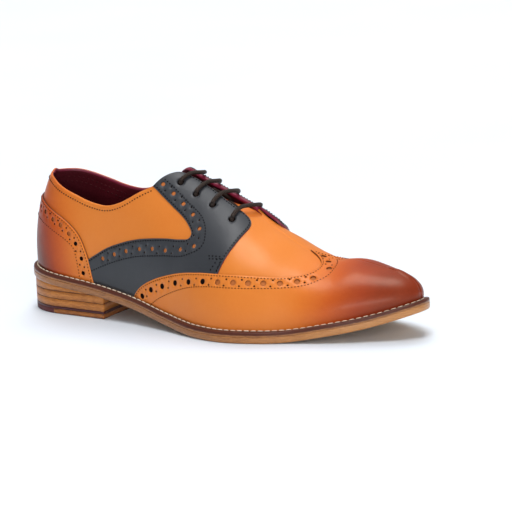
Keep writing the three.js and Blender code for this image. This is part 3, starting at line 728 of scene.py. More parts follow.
TAN = leather(
    "tan_calf", shades((0.0, 212, 124, 50), (0.25, 204, 108, 36), (0.5, 182, 80, 24),
                       (0.75, 148, 52, 17), (1.0, 102, 30, 10)),
    mottle=0.14, rough=0.4, coat=0.14, coat_rough=0.24, Specular_Tint=(1, 0.8, 0.6, 1),
    Coat_IOR=1.4, Coat_Tint=(1, 0.9, 0.82, 1))
TAN_EDGE = leather(
    "tan_cut_edge", shades((0.0, 104, 50, 20), (0.6, 70, 28, 12), (1.0, 44, 15, 8)),
    grain=0.6, rough=0.6)
NAVY = leather(
    "navy_calf", shades((0.0, 49, 51, 57), (0.4, 38, 41, 46), (1.0, 22, 25, 30)),
    mottle=0.16, rough=0.48, coat=0.25, coat_rough=0.4, Sheen_Weight=0.3, Sheen_Roughness=0.4)
NAVY_EDGE = leather(
    "navy_cut_edge", shades((0.0, 22, 23, 27), (1.0, 11, 12, 15)), grain=0.6, rough=0.55)
LINING = leather(
    "burgundy_lining", shades((0.0, 92, 24, 34), (0.5, 68, 17, 25), (1.0, 40, 10, 15)),
    mottle=0.35, grain=0.5, coat=0.15)
PIPING = leather(
    "burgundy_edge", shades((0.0, 126, 30, 56), (1.0, 66, 12, 28)),
    mottle=0.3, rough=0.36, coat=0.3, coat_rough=0.2)
WELT_DARK = leather(
    "maroon_welt", shades((0.0, 116, 60, 32), (0.45, 76, 32, 17), (1.0, 28, 10, 6)),
    mottle=0.3, grain=0.6, coat=0.08, coat_rough=0.25)
# The tan leather of the hole floors, darkened: painted shade
HOLE_FLOOR_SHADE = leather(
    "hole_floor_shade", shades((0.0, 186, 106, 50), (0.6, 134, 64, 30), (1.0, 86, 34, 18)),
    mottle=0.3, rough=0.7)
# Painted shade: near-black for the discs in the small holes, the eyelets and the holes over navy
HOLE_SHADE = leather(
    "hole_painted_shade", shades((0.0, 16, 9, 8), (1.0, 8, 5, 5)), rough=0.9, Specular_IOR_Level=0.05)


def layered(name, stops, streak, rough, coat, layer_scale=2600.0):
    """Edge of stacked leather: fine layers, fibres and a waxed gloss"""
    n = Nodes(name)
    fibres = n.noise(180.0, 5.0, (1.0, 1.0, 7.0), 0.65)
    specks = n.noise(900.0, 2.0, (1.0, 1.0, 2.5), 0.7)
    blend = n.math("ADD", n.math("MULTIPLY", fibres, streak), n.math("MULTIPLY", specks, 0.3))
    tone = n.math("ADD", blend, n.attribute("tone"), clamp=True)
    color = n.ramp(tone, stops)
    height = n.noise(layer_scale, 2.0, (0.08, 0.08, 1.0))
    bump = n.bump(height, 0.00008, 0.6)
    bump = n.bump(n.noise(500.0, 3.0), 0.0001, 0.4, bump)
    return n.set(Base_Color=color, Roughness=rough, Normal=bump, Coat_Weight=coat,
                 Coat_Roughness=0.25, Specular_IOR_Level=SHINE)


SOLE_EDGE = layered("sole_edge", shades(
    (0.2, 200, 146, 86), (0.55, 172, 114, 60), (1.0, 84, 44, 22)), 0.7, 0.34, 0.35)
SOLE_FACE = layered("sole_face", shades(
    (0.2, 214, 170, 116), (0.6, 196, 146, 92), (1.0, 120, 78, 44)), 0.6, 0.5, 0.1)
STACK = layered("heel_stack", shades(
    (0.15, 206, 140, 72), (0.5, 184, 116, 52), (0.8, 136, 78, 34), (1.0, 48, 25, 15),
), 0.9, 0.46, 0.04, 1800.0)
ACCENT_LEATHER = layered("heel_accent", shades((0.2, 82, 26, 30), (1.0, 40, 12, 14)), 0.6, 0.4, 0.3)
RUBBER = layered("heel_rubber", shades((0.2, 98, 46, 46), (1.0, 60, 24, 26)), 0.5, 0.62, 0.0)


def thread(name, color, dark):
    """Waxed thread with a twist"""
    n = Nodes(name)
    tone = n.noise(1500.0, 2.0)
    stops = shades((0.3, *color), (0.75, *dark))
    return n.set(Base_Color=n.ramp(tone, stops), Roughness=0.6,
                 Normal=n.bump(tone, 0.0001, 0.6), Specular_IOR_Level=0.12)


DARK_THREAD = thread("dark_thread", (9, 9, 12), (4, 4, 6))
BROWN_THREAD = thread("brown_thread", (86, 42, 18), (44, 19, 9))
SEAM_THREAD = thread("seam_thread", (40, 20, 18), (20, 9, 8))
LINING_THREAD = thread("lining_thread", (92, 40, 44), (50, 18, 22))
CREAM_THREAD = thread("cream_thread", (250, 238, 216), (216, 192, 160))


def lace_material():
    """Waxed round cord: braid from the along and round attributes"""
    n = Nodes("waxed_lace")
    along = n.attribute("along")
    turn = n.attribute("turn")
    left = n.math("SINE", n.math("ADD", n.math("MULTIPLY", along, 5.2), turn))
    right = n.math("SINE", n.math("SUBTRACT", n.math("MULTIPLY", along, 5.2), turn))
    braid = n.math("MAXIMUM", left, right)
    tone = n.math("MULTIPLY_ADD", braid, 0.3, 0.4)
    color = n.ramp(tone, shades((0.1, 18, 13, 11), (0.8, 56, 42, 34)))
    bump = n.bump(braid, 0.00016, 0.8)
    return n.set(Base_Color=color, Roughness=0.5, Normal=bump, Specular_IOR_Level=0.3)


LACE_CORD = lace_material()


def burnish_and_shade(points):
    """Tone of the tan leather: real antique darkening towards the toe, its crest and the heel,
    painted shade over the rear of the shoe, and a little darker low down next to the welt
    """
    x, y, z = points[:, 0], points[:, 1], points[:, 2]
    high = z - welt_top(x)
    toe = smoothstep(x, 206, 292) ** 1.2
    low = np.exp(-high / 12)
    toe_low = smoothstep(x, 190, 262) * low
    crest = smoothstep(x, 232, 285) * smoothstep(high, 26, 36)
    heel = smoothstep(-x, -62, -6) * smoothstep(-high, -84, -4)
    # painted shade: the rear of the shoe darker where it turns away from the light
    rear = 0.22 * smoothstep(-x, -70, -20)
    side = 0.08 * np.exp(-high / 7)
    tone = 0.84 * toe - 0.04 * toe_low + 0.26 * crest + 0.8 * heel + rear + side
    return np.clip(tone + 0.06, 0, 1)


# Navy tone by height: painted shade low down and painted sheen high up
def navy_painted_shade(points):
    return 0.25 + 0.4 * np.exp(-(points[:, 2] - welt_top(points[:, 0])) / 14)


# Upper shell
def topline_loop():
    """The shell's upper edge from the heel over collar and throat, then the ridge to the toe"""
    rim = smooth(np.vstack([knots(TOPLINE), knots(THROAT_EDGE)]), 1.6)
    corner = smooth(knots((THROAT_EDGE[-1],) + VAMP_EDGE), 1.2)[1:]
    start = corner[-1]
    toe = even(np.stack([start, np.array(flat(math.pi, 1.0))]), 1.8)[1:]
    return np.vstack([rim, corner, toe])


def medial_rise(side, angle, up):
    """The medial topline is a little higher at the collar"""
    if side == LATERAL:
        return up
    growing = smoothstep(angle, 0, 0.6)
    fading = 1 - smoothstep(up, 0.4, 0.8)
    return up + TOPLINE_STEP / INSTEP * growing * fading


def shell():
    rim = topline_loop()
    angle, top = unflat(rim)
    top = np.minimum(top, 1)
    rows = []
    for side, order in ((LATERAL, slice(None, None, -1)), (MEDIAL, slice(1, None))):
        rows.append(np.stack([side * angle, medial_rise(side, angle, top)], -1)[order])
    rows = np.vstack(rows)
    edge_open = rows[:, 1] < 0.999
    row_share = share_of(rows[:, 0])
    in_throat = (row_share > 0.36) & (row_share < 0.585)
    outer = np.linspace(0, 1, PROFILE_ROWS + 1)
    roll = ((0.8, -0.1), (1.2, -0.6), (1.2, -1.2), (0.9, -1.9))
    inner = np.linspace(1, 0, 26)
    profile = []
    for share in outer:
        profile.append(place(rows[:, 0], rows[:, 1] * share, SHELL_FACE))
    for rise, lift in roll:
        up = np.where(edge_open, rows[:, 1] + rise / INSTEP, rows[:, 1])
        profile.append(place(rows[:, 0], up, SHELL_FACE + lift))
    for share in inner:
        profile.append(place(rows[:, 0], rows[:, 1] * share, SHELL_FACE - SHELL_WALL))
    profile = np.array(profile)
    count, width = profile.shape[:2]
    vertices = profile.reshape(-1, 3)
    faces, kinds = [], []
    for j in range(count):
        after = (j + 1) % count
        rolled = j >= PROFILE_ROWS - 1
        kind = 0 if j < PROFILE_ROWS + 3 else (2 if j < PROFILE_ROWS + 5 else 1)
        for i in range(width - 1):
            a, b = j * width + i, after * width + i
            faces.append((a, a + 1, b + 1, b))
            kinds.append(2 if rolled and kind == 0 and in_throat[i] else kind)
    # tone: real antique darkening of the tan leather plus painted shade over the rear
    toned_piece("upper_leather", vertices, faces, (TAN, LINING, PIPING), kinds,
                lambda points: burnish_and_shade(points) * 0.9, "upper")


# Panels cut from leather and laid over the shell
def panel_board(loop, holes):
    """Triangles of a panel on the board, with the drop of each point below its face"""
    rim = [loop]
    points = [loop]
    drops = [np.full(len(loop), CUT_EDGE)]
    edges = [(i, (i + 1) % len(loop)) for i in range(len(loop))]
    base = len(loop)
    for centre, radius in holes:
        count = 14 if radius > 1 else 7
        hole = ring(centre, radius, count)
        rim.append(hole)
        points += [hole, ring(centre, radius + 0.4, count)]
        drops += [np.full(count, CUT_EDGE), np.zeros(count)]
        edges += [(base + i, base + (i + 1) % count) for i in range(count)]
        base += 2 * count
    closed_loop = np.vstack([loop, loop[:1]])
    inner = beside(closed_loop, 0.45)[:-1]
    other = beside(closed_loop, -0.45)[:-1]
    if inside(other, loop).sum() > inside(inner, loop).sum():
        inner = other
    walls = tree_of(np.vstack(rim))
    keep = inside(inner, loop) & far_from(walls, inner, 0.3)
    points.append(inner[keep])
    drops.append(np.zeros(keep.sum()))
    low, high = loop.min(0), loop.max(0)
    xs = np.arange(low[0], high[0], PANEL_STEP)
    ys = np.arange(low[1], high[1], PANEL_STEP * 0.87)
    grid = np.array([(x + (PANEL_STEP / 2 if j % 2 else 0), y)
                     for j, y in enumerate(ys) for x in xs])
    grid = grid[inside(grid, loop)]
    taken = tree_of(np.vstack(points))
    grid = grid[far_from(taken, grid, 0.85)]
    for hole in rim[1:]:
        grid = grid[~inside(grid, hole)]
    points.append(grid)
    drops.append(np.zeros(len(grid)))
    points = np.vstack(points)
    drops = np.concatenate(drops)
    found, _, faces, origins, _, _ = delaunay_2d_cdt(
        [Vector(p) for p in points], edges, [], 0, 1e-5)
    found = np.array([tuple(p) for p in found])
    drop = np.array([max((drops[k] for k in source), default=CUT_EDGE) for source in origins])
    faces = np.array([f for f in faces if len(f) == 3])
    centres = found[faces].mean(1)
    keep = inside(centres, loop)
    for hole in rim[1:]:
        keep &= ~inside(centres, hole)
    return found, drop, faces[keep]


def flat_lift(angle, up):
    return np.zeros_like(angle)


def flap_lift(angle, up):
    """The front corner of the medial facing stands off the vamp"""
    share = share_of(angle)
    along = smoothstep(share, 0.565, 0.61) * (1 - 0.75 * smoothstep(share, 0.635, 0.655))
    return MEDIAL_FLAP * along * smoothstep(up, 0.6, 0.87)


def on_throat(angle, up):
    share = share_of(angle)
    return (up > 0.84 and share > 0.38) or share > 0.58


def panel(name, loop, holes, sides, thickness, materials, node, lift=flat_lift):
    """A leather panel with real holes, on one side or joined over the ridge"""
    board, drop, faces = panel_board(loop, holes)
    angle, up = unflat(board)
    up = np.clip(up, 0, 1)
    count = {}
    for a, b, c in faces:
        for pair in ((a, b), (b, c), (c, a)):
            count[pair] = count.get(pair, 0) + 1
    joined = (up > 1 - 1e-6) | (angle > math.pi - 1e-6) | (angle < 1e-6)
    rim = [(a, b) for a, b in count if (b, a) not in count and not (joined[a] and joined[b])]
    at_rim = sorted({i for pair in rim for i in pair})
    number = {i: k for k, i in enumerate(at_rim)}
    vertices, all_faces, kinds = [], [], []
    offset = 0
    for side in sides:
        top = medial_rise(side, angle, up)
        raised = lift(angle, up)
        face = place(side * angle, top, SHELL_FACE + thickness - drop + raised)
        foot = SHELL_FACE - 0.3 + 0.6 * raised[at_rim]
        root = place(side * angle[at_rim], top[at_rim], foot)
        vertices += [face, root]
        below = offset + len(board)
        turn = (lambda f: f) if side == LATERAL else (lambda f: f[::-1])
        for f in faces:
            all_faces.append(turn([offset + k for k in f]))
            kinds.append(0)
        for a, b in rim:
            wall = [offset + b, offset + a, below + number[a], below + number[b]]
            all_faces.append(turn(wall))
            kinds.append(2 if len(materials) > 2 and on_throat(angle[a], up[a]) else 1)
        offset += len(board) + len(at_rim)
    # tan panels: real antique darkening and painted shade; navy panels: painted shade and painted
    # sheen
    tone = burnish_and_shade if materials[0] is TAN else navy_painted_shade
    toned_piece(name, np.vstack(vertices), all_faces, materials, kinds, tone, node)


def pinholes(places, spread):
    """Two small holes between each pair of large ones, on either side of the row"""
    middle = (places[:-1] + places[1:]) / 2
    step = places[1:] - places[:-1]
    close = np.linalg.norm(step, axis=1) < 16
    _, n, ex, ey = local_frame(middle)
    tangent = unit(step[:, :1] * ex + step[:, 1:] * ey)
    sideways = np.cross(n, tangent)
    found = []
    for sign in (-1, 1):
        found.append(moved(middle, sign * (sideways * spread + tangent * 0.8))[close])
    return np.vstack(found)


def hole_list(rows, radius, spread):
    places = knots(rows)
    small = pinholes(places, spread)
    return [(p, radius) for p in places] + [(p, PINHOLE) for p in small]


def hole_floors(name, shade_discs, material):
    """Discs a little below the leather's face that paint shade in holes, each a centre, a radius
    and a lift
    """
    vertices, faces = [], []
    for side in (LATERAL, MEDIAL):
        for centre, radius, lift in shade_discs:
            board = np.vstack([[centre], ring(centre, radius, 9)])
            angle, up = unflat(board)
            base = sum(len(v) for v in vertices)
            top = medial_rise(side, angle, np.clip(up, 0, 1))
            vertices.append(place(side * angle, top, SHELL_FACE + lift))
            for k in range(9):
                face = (base, base + 1 + k, base + 1 + (k + 1) % 9)
                faces.append(face if side == LATERAL else face[::-1])
    obj = mesh_object(name, np.vstack(vertices), faces, (material,))
    return finish_piece(obj, None)


def wing_loop():
    edge = smooth(knots(WING_EDGE))
    peak_hole = ring(knots(WING_HOLES[-1:])[0], CAP_HOLE, 24)
    notch = peak_hole[peak_hole[:, 1] < BOARD_HEIGHT - 0.02]
    notch = notch[np.argsort(notch[:, 0])]
    left, right = notch[0, 0] - 0.1, notch[-1, 0] + 0.1
    end = BOARD_GIRTH[-1]
    ridge_a = edge_line(edge[-1], (left, BOARD_HEIGHT))[1:]
    ridge_b = edge_line((right, BOARD_HEIGHT), (end, BOARD_HEIGHT))
    toe = edge_line((end, BOARD_HEIGHT), (end, 0))[1:]
    foot = edge_line((end, 0), edge[0])[1:-1]
    return np.vstack([edge, ridge_a, notch, ridge_b, toe, foot])


def counter_loop():
    edge = smooth(knots(COUNTER_EDGE))
    foot = edge_line(edge[-1], (0, 0))[1:]
    back = edge_line((0, 0), edge[0])[1:-1]
    return np.vstack([edge, foot, back])


def facing_loop(side):
    band = smooth(knots(BAND_EDGE))
    collar = smooth(knots(TOPLINE[-4:] + THROAT_EDGE[:1]))[1:]
    throat = smooth(knots(THROAT_EDGE))[1:-1]
    front = smooth(knots(FACING_FRONT if side == LATERAL else MEDIAL_FRONT))
    under_caps = edge_line(front[-1], *knots(FACING_UNDER), band[0])[1:-1]
    return np.vstack([band, collar, throat, front, under_caps])


# Seams
def capsule(length, radius):
    """A stitch: a short rod with round ends, along X"""
    rings = ((-0.42, 0.75), (-0.25, 1.0), (0.25, 1.0), (0.42, 0.75))
    turn = np.linspace(0, 2 * math.pi, 6, endpoint=False)
    vertices = [(along * length, radius * wide * math.cos(t), radius * wide * math.sin(t))
                for along, wide in rings for t in turn]
    first, last = len(vertices), len(vertices) + 1
    vertices += [(-0.5 * length, 0, 0), (0.5 * length, 0, 0)]
    front = first - 6
    faces = strips(len(rings), 6)
    for i in range(6):
        k = (i + 1) % 6
        faces += [(first, k, i), (front + i, front + k, last)]
    return np.array(vertices), faces


def stitches(name, seams, pitch, length, radius, material, slot):
    """Stitches along seams, each given as points and normals"""
    template, template_faces = capsule(length, radius)
    vertices, faces = [], []
    for points, normals in seams:
        run = run_along(points)
        count = max(1, int(run[-1] / pitch))
        at = (np.arange(count) + 0.5) * run[-1] / count
        centre = sampled(points, run, at)
        n = unit(sampled(normals, run, at))
        t = unit(sampled(points, run, at + 0.2) - sampled(points, run, at - 0.2))
        b = unit(np.cross(n, t))
        n = np.cross(t, b)
        sag = np.abs(template[:, 0] / length * 2) ** 3 * radius * 1.5
        for c, tt, bb, nn in zip(centre, t, b, n):
            base = len(vertices) * len(template)
            local = (c + template[:, :1] * tt + template[:, 1:2] * bb
                     + (template[:, 2:3] + radius * 0.35 - sag[:, None]) * nn)
            vertices.append(local)
            faces += [tuple(base + k for k in f) for f in template_faces]
    obj = mesh_object(name, np.vstack(vertices), faces, (material,))
    return finish_piece(obj, None)


def seam_on(board, side, lift, extra=flat_lift):
    angle, up = unflat(board)
    raised = lift + extra(angle, up)
    up = medial_rise(side, angle, np.clip(up, 0, 1))
    return place(side * angle, up, SHELL_FACE + raised), normal(side * angle, up)


def joined_over(board, lift):
    """A seam that runs over ridge or heel from one side to the other"""
    first = seam_on(board, LATERAL, lift)
    second = seam_on(board[::-1], MEDIAL, lift)
    return tuple(np.vstack([a, b[1:]]) for a, b in zip(first, second))


def clipped(board):
    keep = (board[:, 1] > 0.3) & (board[:, 1] <= BOARD_HEIGHT)
    return board[keep]


# Sole
def swept(profile, base):
    """A band round the sole: profile rows are (inset, height above the base curve)"""
    angle = np.linspace(-math.pi, math.pi, ROUND_STEPS, endpoint=False)
    rows = []
    for distance, height in profile:
        distance = distance(angle) if callable(distance) else np.full(len(angle), distance)
        p = inset(angle, distance)
        rows.append(np.column_stack([p, base(p[:, 0]) + height]))
    return np.vstack(rows), strips(len(profile), ROUND_STEPS)


def cap_rows(start):
    """Strips that close a band's last row from the lateral to the medial side"""
    faces = []
    for i in range(ROUND_STEPS // 2):
        c = start + (ROUND_STEPS - i) % ROUND_STEPS
        d = start + ROUND_STEPS - i - 1
        faces.append(tuple(dict.fromkeys((start + i, start + i + 1, d, c))))
    return [f for f in faces if len(f) > 2]


def outsole():
    rounded = ((4.0, OUTSOLE), (0.2, OUTSOLE), (0.05, OUTSOLE - 0.12), (0.0, OUTSOLE - 0.4),
               (0.0, 1.6), (0.15, 0.8), (0.55, 0.2), (1.3, 0.0), (4.0, 0.0))
    vertices, faces = swept(rounded, under)
    first = len(faces)
    faces += cap_rows(0) + cap_rows((len(rounded) - 1) * ROUND_STEPS)
    kinds = [0 if i < 6 * ROUND_STEPS else 1 for i in range(first)] + [1] * (len(faces) - first)

    def tone(points):
        high = points[:, 2] - under(points[:, 0])
        waist = 0.22 * (1 - smoothstep(points[:, 0], 150, 270))
        return waist + 0.1 * smoothstep(high, 4.0, 4.5) + 0.1 * smoothstep(-high, -0.8, 0)

    toned_piece("outsole_edge", vertices, faces, (SOLE_EDGE, SOLE_FACE), kinds, tone,
                "outsole")


def welt():
    """The strip's profile, with a groove for the seam and its edge tucked under the upper"""
    low = -SOLE_GAP * 0.8

    def from_seam(offset):
        return lambda a: margin(a) - WELT_SEAM_IN + offset

    profile = (
        (9.0, low), (0.35, low), (0.2, low + 0.12), (0.12, low + 0.5), (0.12, low + 1.2),
        (0.3, WELT - 1.1), (0.6, WELT - 0.65), (1.1, WELT - 0.4), (from_seam(-0.7), WELT - 0.1),
        (from_seam(-0.35), WELT - 0.35), (from_seam(0.35), WELT - 0.35),
        (from_seam(0.7), WELT - 0.05), (from_seam(WELT_SEAM_IN + 0.2), WELT),
        (from_seam(WELT_SEAM_IN + 4.5), WELT - 0.4), (9.0, low),
    )
    vertices, faces = swept(profile, lambda x: under(x) + OUTSOLE + SOLE_GAP)
    kinds = [1 if ROUND_STEPS <= i < 4 * ROUND_STEPS else 0 for i in range(len(faces))]

    def tone(points):
        high = points[:, 2] - under(points[:, 0]) - OUTSOLE
        return 0.45 - 0.3 * smoothstep(-high, -1.6, -0.2)

    toned_piece("welt_strip", vertices, faces, (WELT_DARK, SOLE_EDGE), kinds, tone,
                "welt")


def heel_rim(angle):
    full = angle_of(HEEL_LENGTH / LENGTH) * SETBACK_FULL
    share = smoothstep(np.abs(angle), 0, full)
    return inset(angle, HEEL_SETBACK_REAR + (HEEL_SETBACK_SIDE - HEEL_SETBACK_REAR) * share)


def cut_at(place_x, y):
    return place_x - BREAST_CURVE * (1 - (y / (HEEL_WIDTH / 2)) ** 2)


def crossing(place_x, side):
    low, high = angle_of(max(0.0, place_x - 6) / LENGTH), angle_of((place_x + 6) / LENGTH)
    for _ in range(40):
        mid = (low + high) / 2
        p = heel_rim(np.array([side * mid]))[0]
        low, high = (mid, high) if p[0] < cut_at(place_x, p[1]) else (low, mid)
    return side * low


def heel_plan(back, front):
    """Loop of a heel piece, from the lateral end of its front cut round the rear"""
    count = 90
    ends = crossing(front, LATERAL), crossing(front, MEDIAL)
    if back:
        inner = (crossing(back, LATERAL), crossing(back, MEDIAL))
        lateral = heel_rim(np.linspace(ends[0], inner[0], count // 2))
        medial = heel_rim(np.linspace(inner[1], ends[1], count // 2))
        y = np.linspace(lateral[-1, 1], medial[0, 1], 18)[1:-1]
        rim = np.vstack([lateral, np.stack([cut_at(back, y), y], -1), medial])
    else:
        rim = heel_rim(np.linspace(*ends, 2 * count))
    y = np.linspace(rim[-1, 1], rim[0, 1], 26)[1:-1]
    return np.vstack([rim, np.stack([cut_at(front, y), y], -1)])


def heel_piece(name, node, back, front, bottom, top, material, swell=0.0, shade=0.0):
    """One layer of the heel block with worn edges; its top follows the outsole"""
    plan = heel_plan(back, front)
    middle = plan.mean(0)
    out = unit(plan - middle)
    rows = (-1.2, -0.3, 0.0, 0.0, 0.0, -0.3, -1.2)
    rings = []
    for k, push in enumerate(rows):
        p = plan + out * (push + swell)
        limit = under(p[:, 0]) - 0.02
        low = np.minimum(bottom, limit)
        high = np.minimum(top, limit)
        edge = np.minimum(0.3, (high - low) / 3)
        z = (low, low, low + edge, (low + high) / 2, high - edge, high, high)[k]
        rings.append(np.column_stack([p, z]))
    n = len(plan)
    faces = strips(len(rows), n)
    faces.append(tuple(range(n))[::-1])
    faces.append(tuple(range((len(rows) - 1) * n, len(rows) * n)))

    def tone(points):
        near = np.minimum(points[:, 2] - bottom, np.abs(top - points[:, 2]))
        return 0.6 * np.exp(-np.abs(near) / 0.26) - 0.1 + shade

    toned_piece(name, np.vstack(rings), faces, (material,), None, tone, node, 1e-6)


# Tongue and laces
def tongue():
    edge = smooth(knots(TONGUE), 1.5)
    angle, low = unflat(edge)
    share = np.linspace(0, 1, 15)
    rows = []
    for a, u in zip(angle, low):
        ups = u + (1 - u) * share
        rows.append([(-a, v) for v in ups] + [(a, v) for v in ups[::-1][1:]])
    rows = np.array(rows)
    around, up = rows[..., 0], rows[..., 1]
    faces_of = []
    for lift in (TONGUE_FACE, TONGUE_FACE - TONGUE_WALL):
        risen = lift + TONGUE_FRONT_RISE * smoothstep(share_of(around), 0.5, 0.585)
        faces_of.append(place(around, up, risen - relief(around, up)))
    n, m = rows.shape[:2]
    vertices = np.vstack([f.reshape(-1, 3) for f in faces_of])
    faces = []
    size = n * m
    for i in range(n - 1):
        for j in range(m - 1):
            a, b = i * m + j, (i + 1) * m + j
            faces.append((a, b, b + 1, a + 1))
            faces.append((size + a, size + a + 1, size + b + 1, size + b))
    border = ([i * m for i in range(n)] + [(n - 1) * m + j for j in range(1, m)]
              + [i * m + m - 1 for i in range(n - 2, -1, -1)] + list(range(m - 2, 0, -1)))
    for a, b in zip(border, border[1:] + border[:1]):
        faces.append((a, a + size, b + size, b))
    # Painted shade: the tongue's tone makes it dark towards its back, in the slot under laces and
    # facings, and light at its front
    toned_piece("tongue_leather", vertices, faces, (TAN,), None,
                lambda points: 0.2 + 0.8 * smoothstep(-points[:, 0], -172, -156),
                "tongue")


def tube(name, path, radius, sides=14):
    """A round cord along a path, with the attributes of its braid"""
    path = even(np.asarray(path, float), 0.5)
    tangent = unit(np.gradient(path, axis=0))
    across_it = unit(np.cross(tangent, [0.3, 0.1, 1.0]))
    over = np.cross(across_it, tangent)
    turn = np.linspace(0, 2 * math.pi, sides, endpoint=False)
    n = len(path)
    round_ends = np.ones(n)
    round_ends[[0, -1]] = 0.25
    round_ends[[1, -2]] = 0.8
    vertices = (path[:, None] + radius * round_ends[:, None, None] * (
        np.cos(turn)[None, :, None] * across_it[:, None]
        + np.sin(turn)[None, :, None] * over[:, None])).reshape(-1, 3)
    faces = [(a, d, c, b) for a, b, c, d in strips(n, sides)]
    faces.append(tuple(range(sides)))
    faces.append(tuple(range((n - 1) * sides, n * sides))[::-1])
    obj = mesh_object(name, vertices, faces, (LACE_CORD,))
    attribute(obj, "along", np.repeat(np.arange(n) * 0.5, sides))
    attribute(obj, "turn", np.tile(turn * 3, n))
    return obj


def lace_points(row, side, up, lift):
    angle = angle_of(row[0])
    return place(np.array([side * angle]), np.array([up]), lift)[0]


def lace_bar(index):
    """A bar over the throat that dips into the eyelets at both ends"""
    row = EYELETS[index]
    edge_up = float(np.interp(row[0], *np.array(THROAT_EDGE).T))
    face = SHELL_FACE + FACING_LEATHER
    loose = face + LACE + 0.35
    half = {}
    for side in (LATERAL, MEDIAL):
        toward = row[1] + 0.012
        leaning = (row[0] + (LACE_LEAN if side == MEDIAL else 0.0), row[1])
        half[side] = [
            lace_points(row, side, row[1], SHELL_FACE - SHELL_WALL - 0.8),
            lace_points(row, side, row[1], SHELL_FACE - 1.0),
            lace_points(row, side, row[1], face + 0.2),
            lace_points(row, side, toward, loose),
            lace_points(leaning, side, edge_up, loose),
        ]
    across_x = (half[LATERAL][-1][0] + 2 * half[MEDIAL][-1][0]) / 3 / LENGTH
    crown_angle = angle_of((across_x - RIDGE_BACK) / (RIDGE_FRONT - RIDGE_BACK))
    crown = place(np.array([crown_angle]), np.array([1.0]), LACE + 1.0)[0]
    path = half[LATERAL] + [crown] + half[MEDIAL][::-1]
    return finish_piece(tube(f"lace_{index + 1}", smooth(np.array(path), 0.4), LACE),
                        f"lace_bar_{index + 1}")


def lace_under(index, side):
    """A run along the tongue, from one eyelet to the next on the same side"""
    first, second = EYELETS[index], EYELETS[index + 1]
    rows = []
    for t, up in ((0.12, 0.86), (0.3, 0.93), (0.7, 0.93), (0.88, 0.86)):
        angle = side * angle_of(first[0] + (second[0] - first[0]) * t)
        here = np.array([angle]), np.array([up])
        rows.append((last_point(*here) + normal(*here) * (TONGUE_FACE + LACE + 0.2))[0])
    start = lace_points(first, side, first[1], SHELL_FACE - SHELL_WALL - 0.8)
    end = lace_points(second, side, second[1], SHELL_FACE - SHELL_WALL - 0.8)
    path = [start] + rows + [end]
    return finish_piece(tube(f"lace_under_{index + 1}", smooth(np.array(path), 0.4), LACE * 0.9),
                        None)


# Build
shell()
wing_holes = [(p, r) for p, r in hole_list(WING_HOLES, CAP_HOLE, CAP_SPREAD)
              if p[1] < BOARD_HEIGHT - HOLE_CLEAR]
counter_holes = [(p, r) for p, r in hole_list(COUNTER_HOLES, COUNTER_HOLE, COUNTER_SPREAD)
                 if p[0] > HOLE_CLEAR]
facing_holes = hole_list(FACING_HOLES, FACING_HOLE, FACING_SPREAD)
facing_holes += [(p, EYELET) for p in knots(EYELETS)]
both = (LATERAL, MEDIAL)
panel("wing_cap_leather", wing_loop(), wing_holes, both, CAP_LEATHER, (TAN, TAN_EDGE),
      "wing_cap")
panel("counter_leather", counter_loop(), counter_holes, both, CAP_LEATHER, (TAN, TAN_EDGE),
      "counter")
front_lift = {LATERAL: flat_lift, MEDIAL: flap_lift}
for side, word in ((LATERAL, "lateral"), (MEDIAL, "medial")):
    panel(f"facing_{word}_leather", facing_loop(side), facing_holes, (side,), FACING_LEATHER,
          (NAVY, NAVY_EDGE, PIPING), f"facing_{word}", front_lift[side])

# Painted shade in the holes: near-black discs in the small holes, the eyelets and the holes that
# lie over navy leather (there partly the navy beneath, darkened), and darker tan discs on the
# floors of the other holes
pins = [p for p, r in facing_holes if r == PINHOLE]
over_navy = FACING_LEATHER + 0.07
shade_discs = [(p, PINHOLE + 0.1, FACING_LEATHER - 0.08) for p in pins]
shade_discs += [(p, EYELET + 0.3, 0.1) for p in knots(EYELETS)]
tan_floor_shades = [(p, r + 0.15, 0.1) for p, r in facing_holes if r == FACING_HOLE]
for p, r in wing_holes + counter_holes:
    share = share_of(unflat([p])[0][0])
    if r == PINHOLE:
        shade_discs.append((p, r + 0.1, CAP_LEATHER - 0.08))
    elif 0.3 < share < 0.56 or p[1] < 0.2 * BOARD_HEIGHT and share < 0.3:
        shade_discs.append((p, r + 0.15, over_navy))
    else:
        tan_floor_shades.append((p, r + 0.15, 0.12))
hole_floors("hole_depths", shade_discs, HOLE_SHADE)
hole_floors("hole_tan_floors", tan_floor_shades, HOLE_FLOOR_SHADE)

band = smooth(knots(BAND_EDGE))
front_edges = {LATERAL: smooth(knots(FACING_FRONT)), MEDIAL: smooth(knots(MEDIAL_FRONT))}
throat_edge = smooth(knots(THROAT_EDGE))
collar_edge = smooth(knots(TOPLINE))
wing_edge = smooth(knots(WING_EDGE))
counter_edge = smooth(knots(COUNTER_EDGE))
low_collar = collar_edge[share_of(unflat(collar_edge)[0]) <= COLLAR_SEAM_END]
dark_seams, collar_seams, inner_seams = [], [], []
for side in both:
    on_navy = FACING_LEATHER
    dark_seams += [
        seam_on(beside(band, EDGE_SEAM), side, on_navy),
        seam_on(smooth(knots(FACING_SEAM)), side, on_navy),
        seam_on(beside(front_edges[side], EDGE_SEAM), side, on_navy, front_lift[side]),
        seam_on(beside(throat_edge, EDGE_SEAM), side, on_navy),
    ]
    dark_seams += [seam_on(smooth(knots(tack)), side, on_navy) for tack in BAR_TACKS]
    collar_seams.append(seam_on(beside(low_collar, COLLAR_SEAM), side, 0.0))
    for down in LINING_SEAMS:
        row, outward = seam_on(beside(low_collar, down), side, -SHELL_WALL - 0.1)
        inner_seams.append((row, -outward))
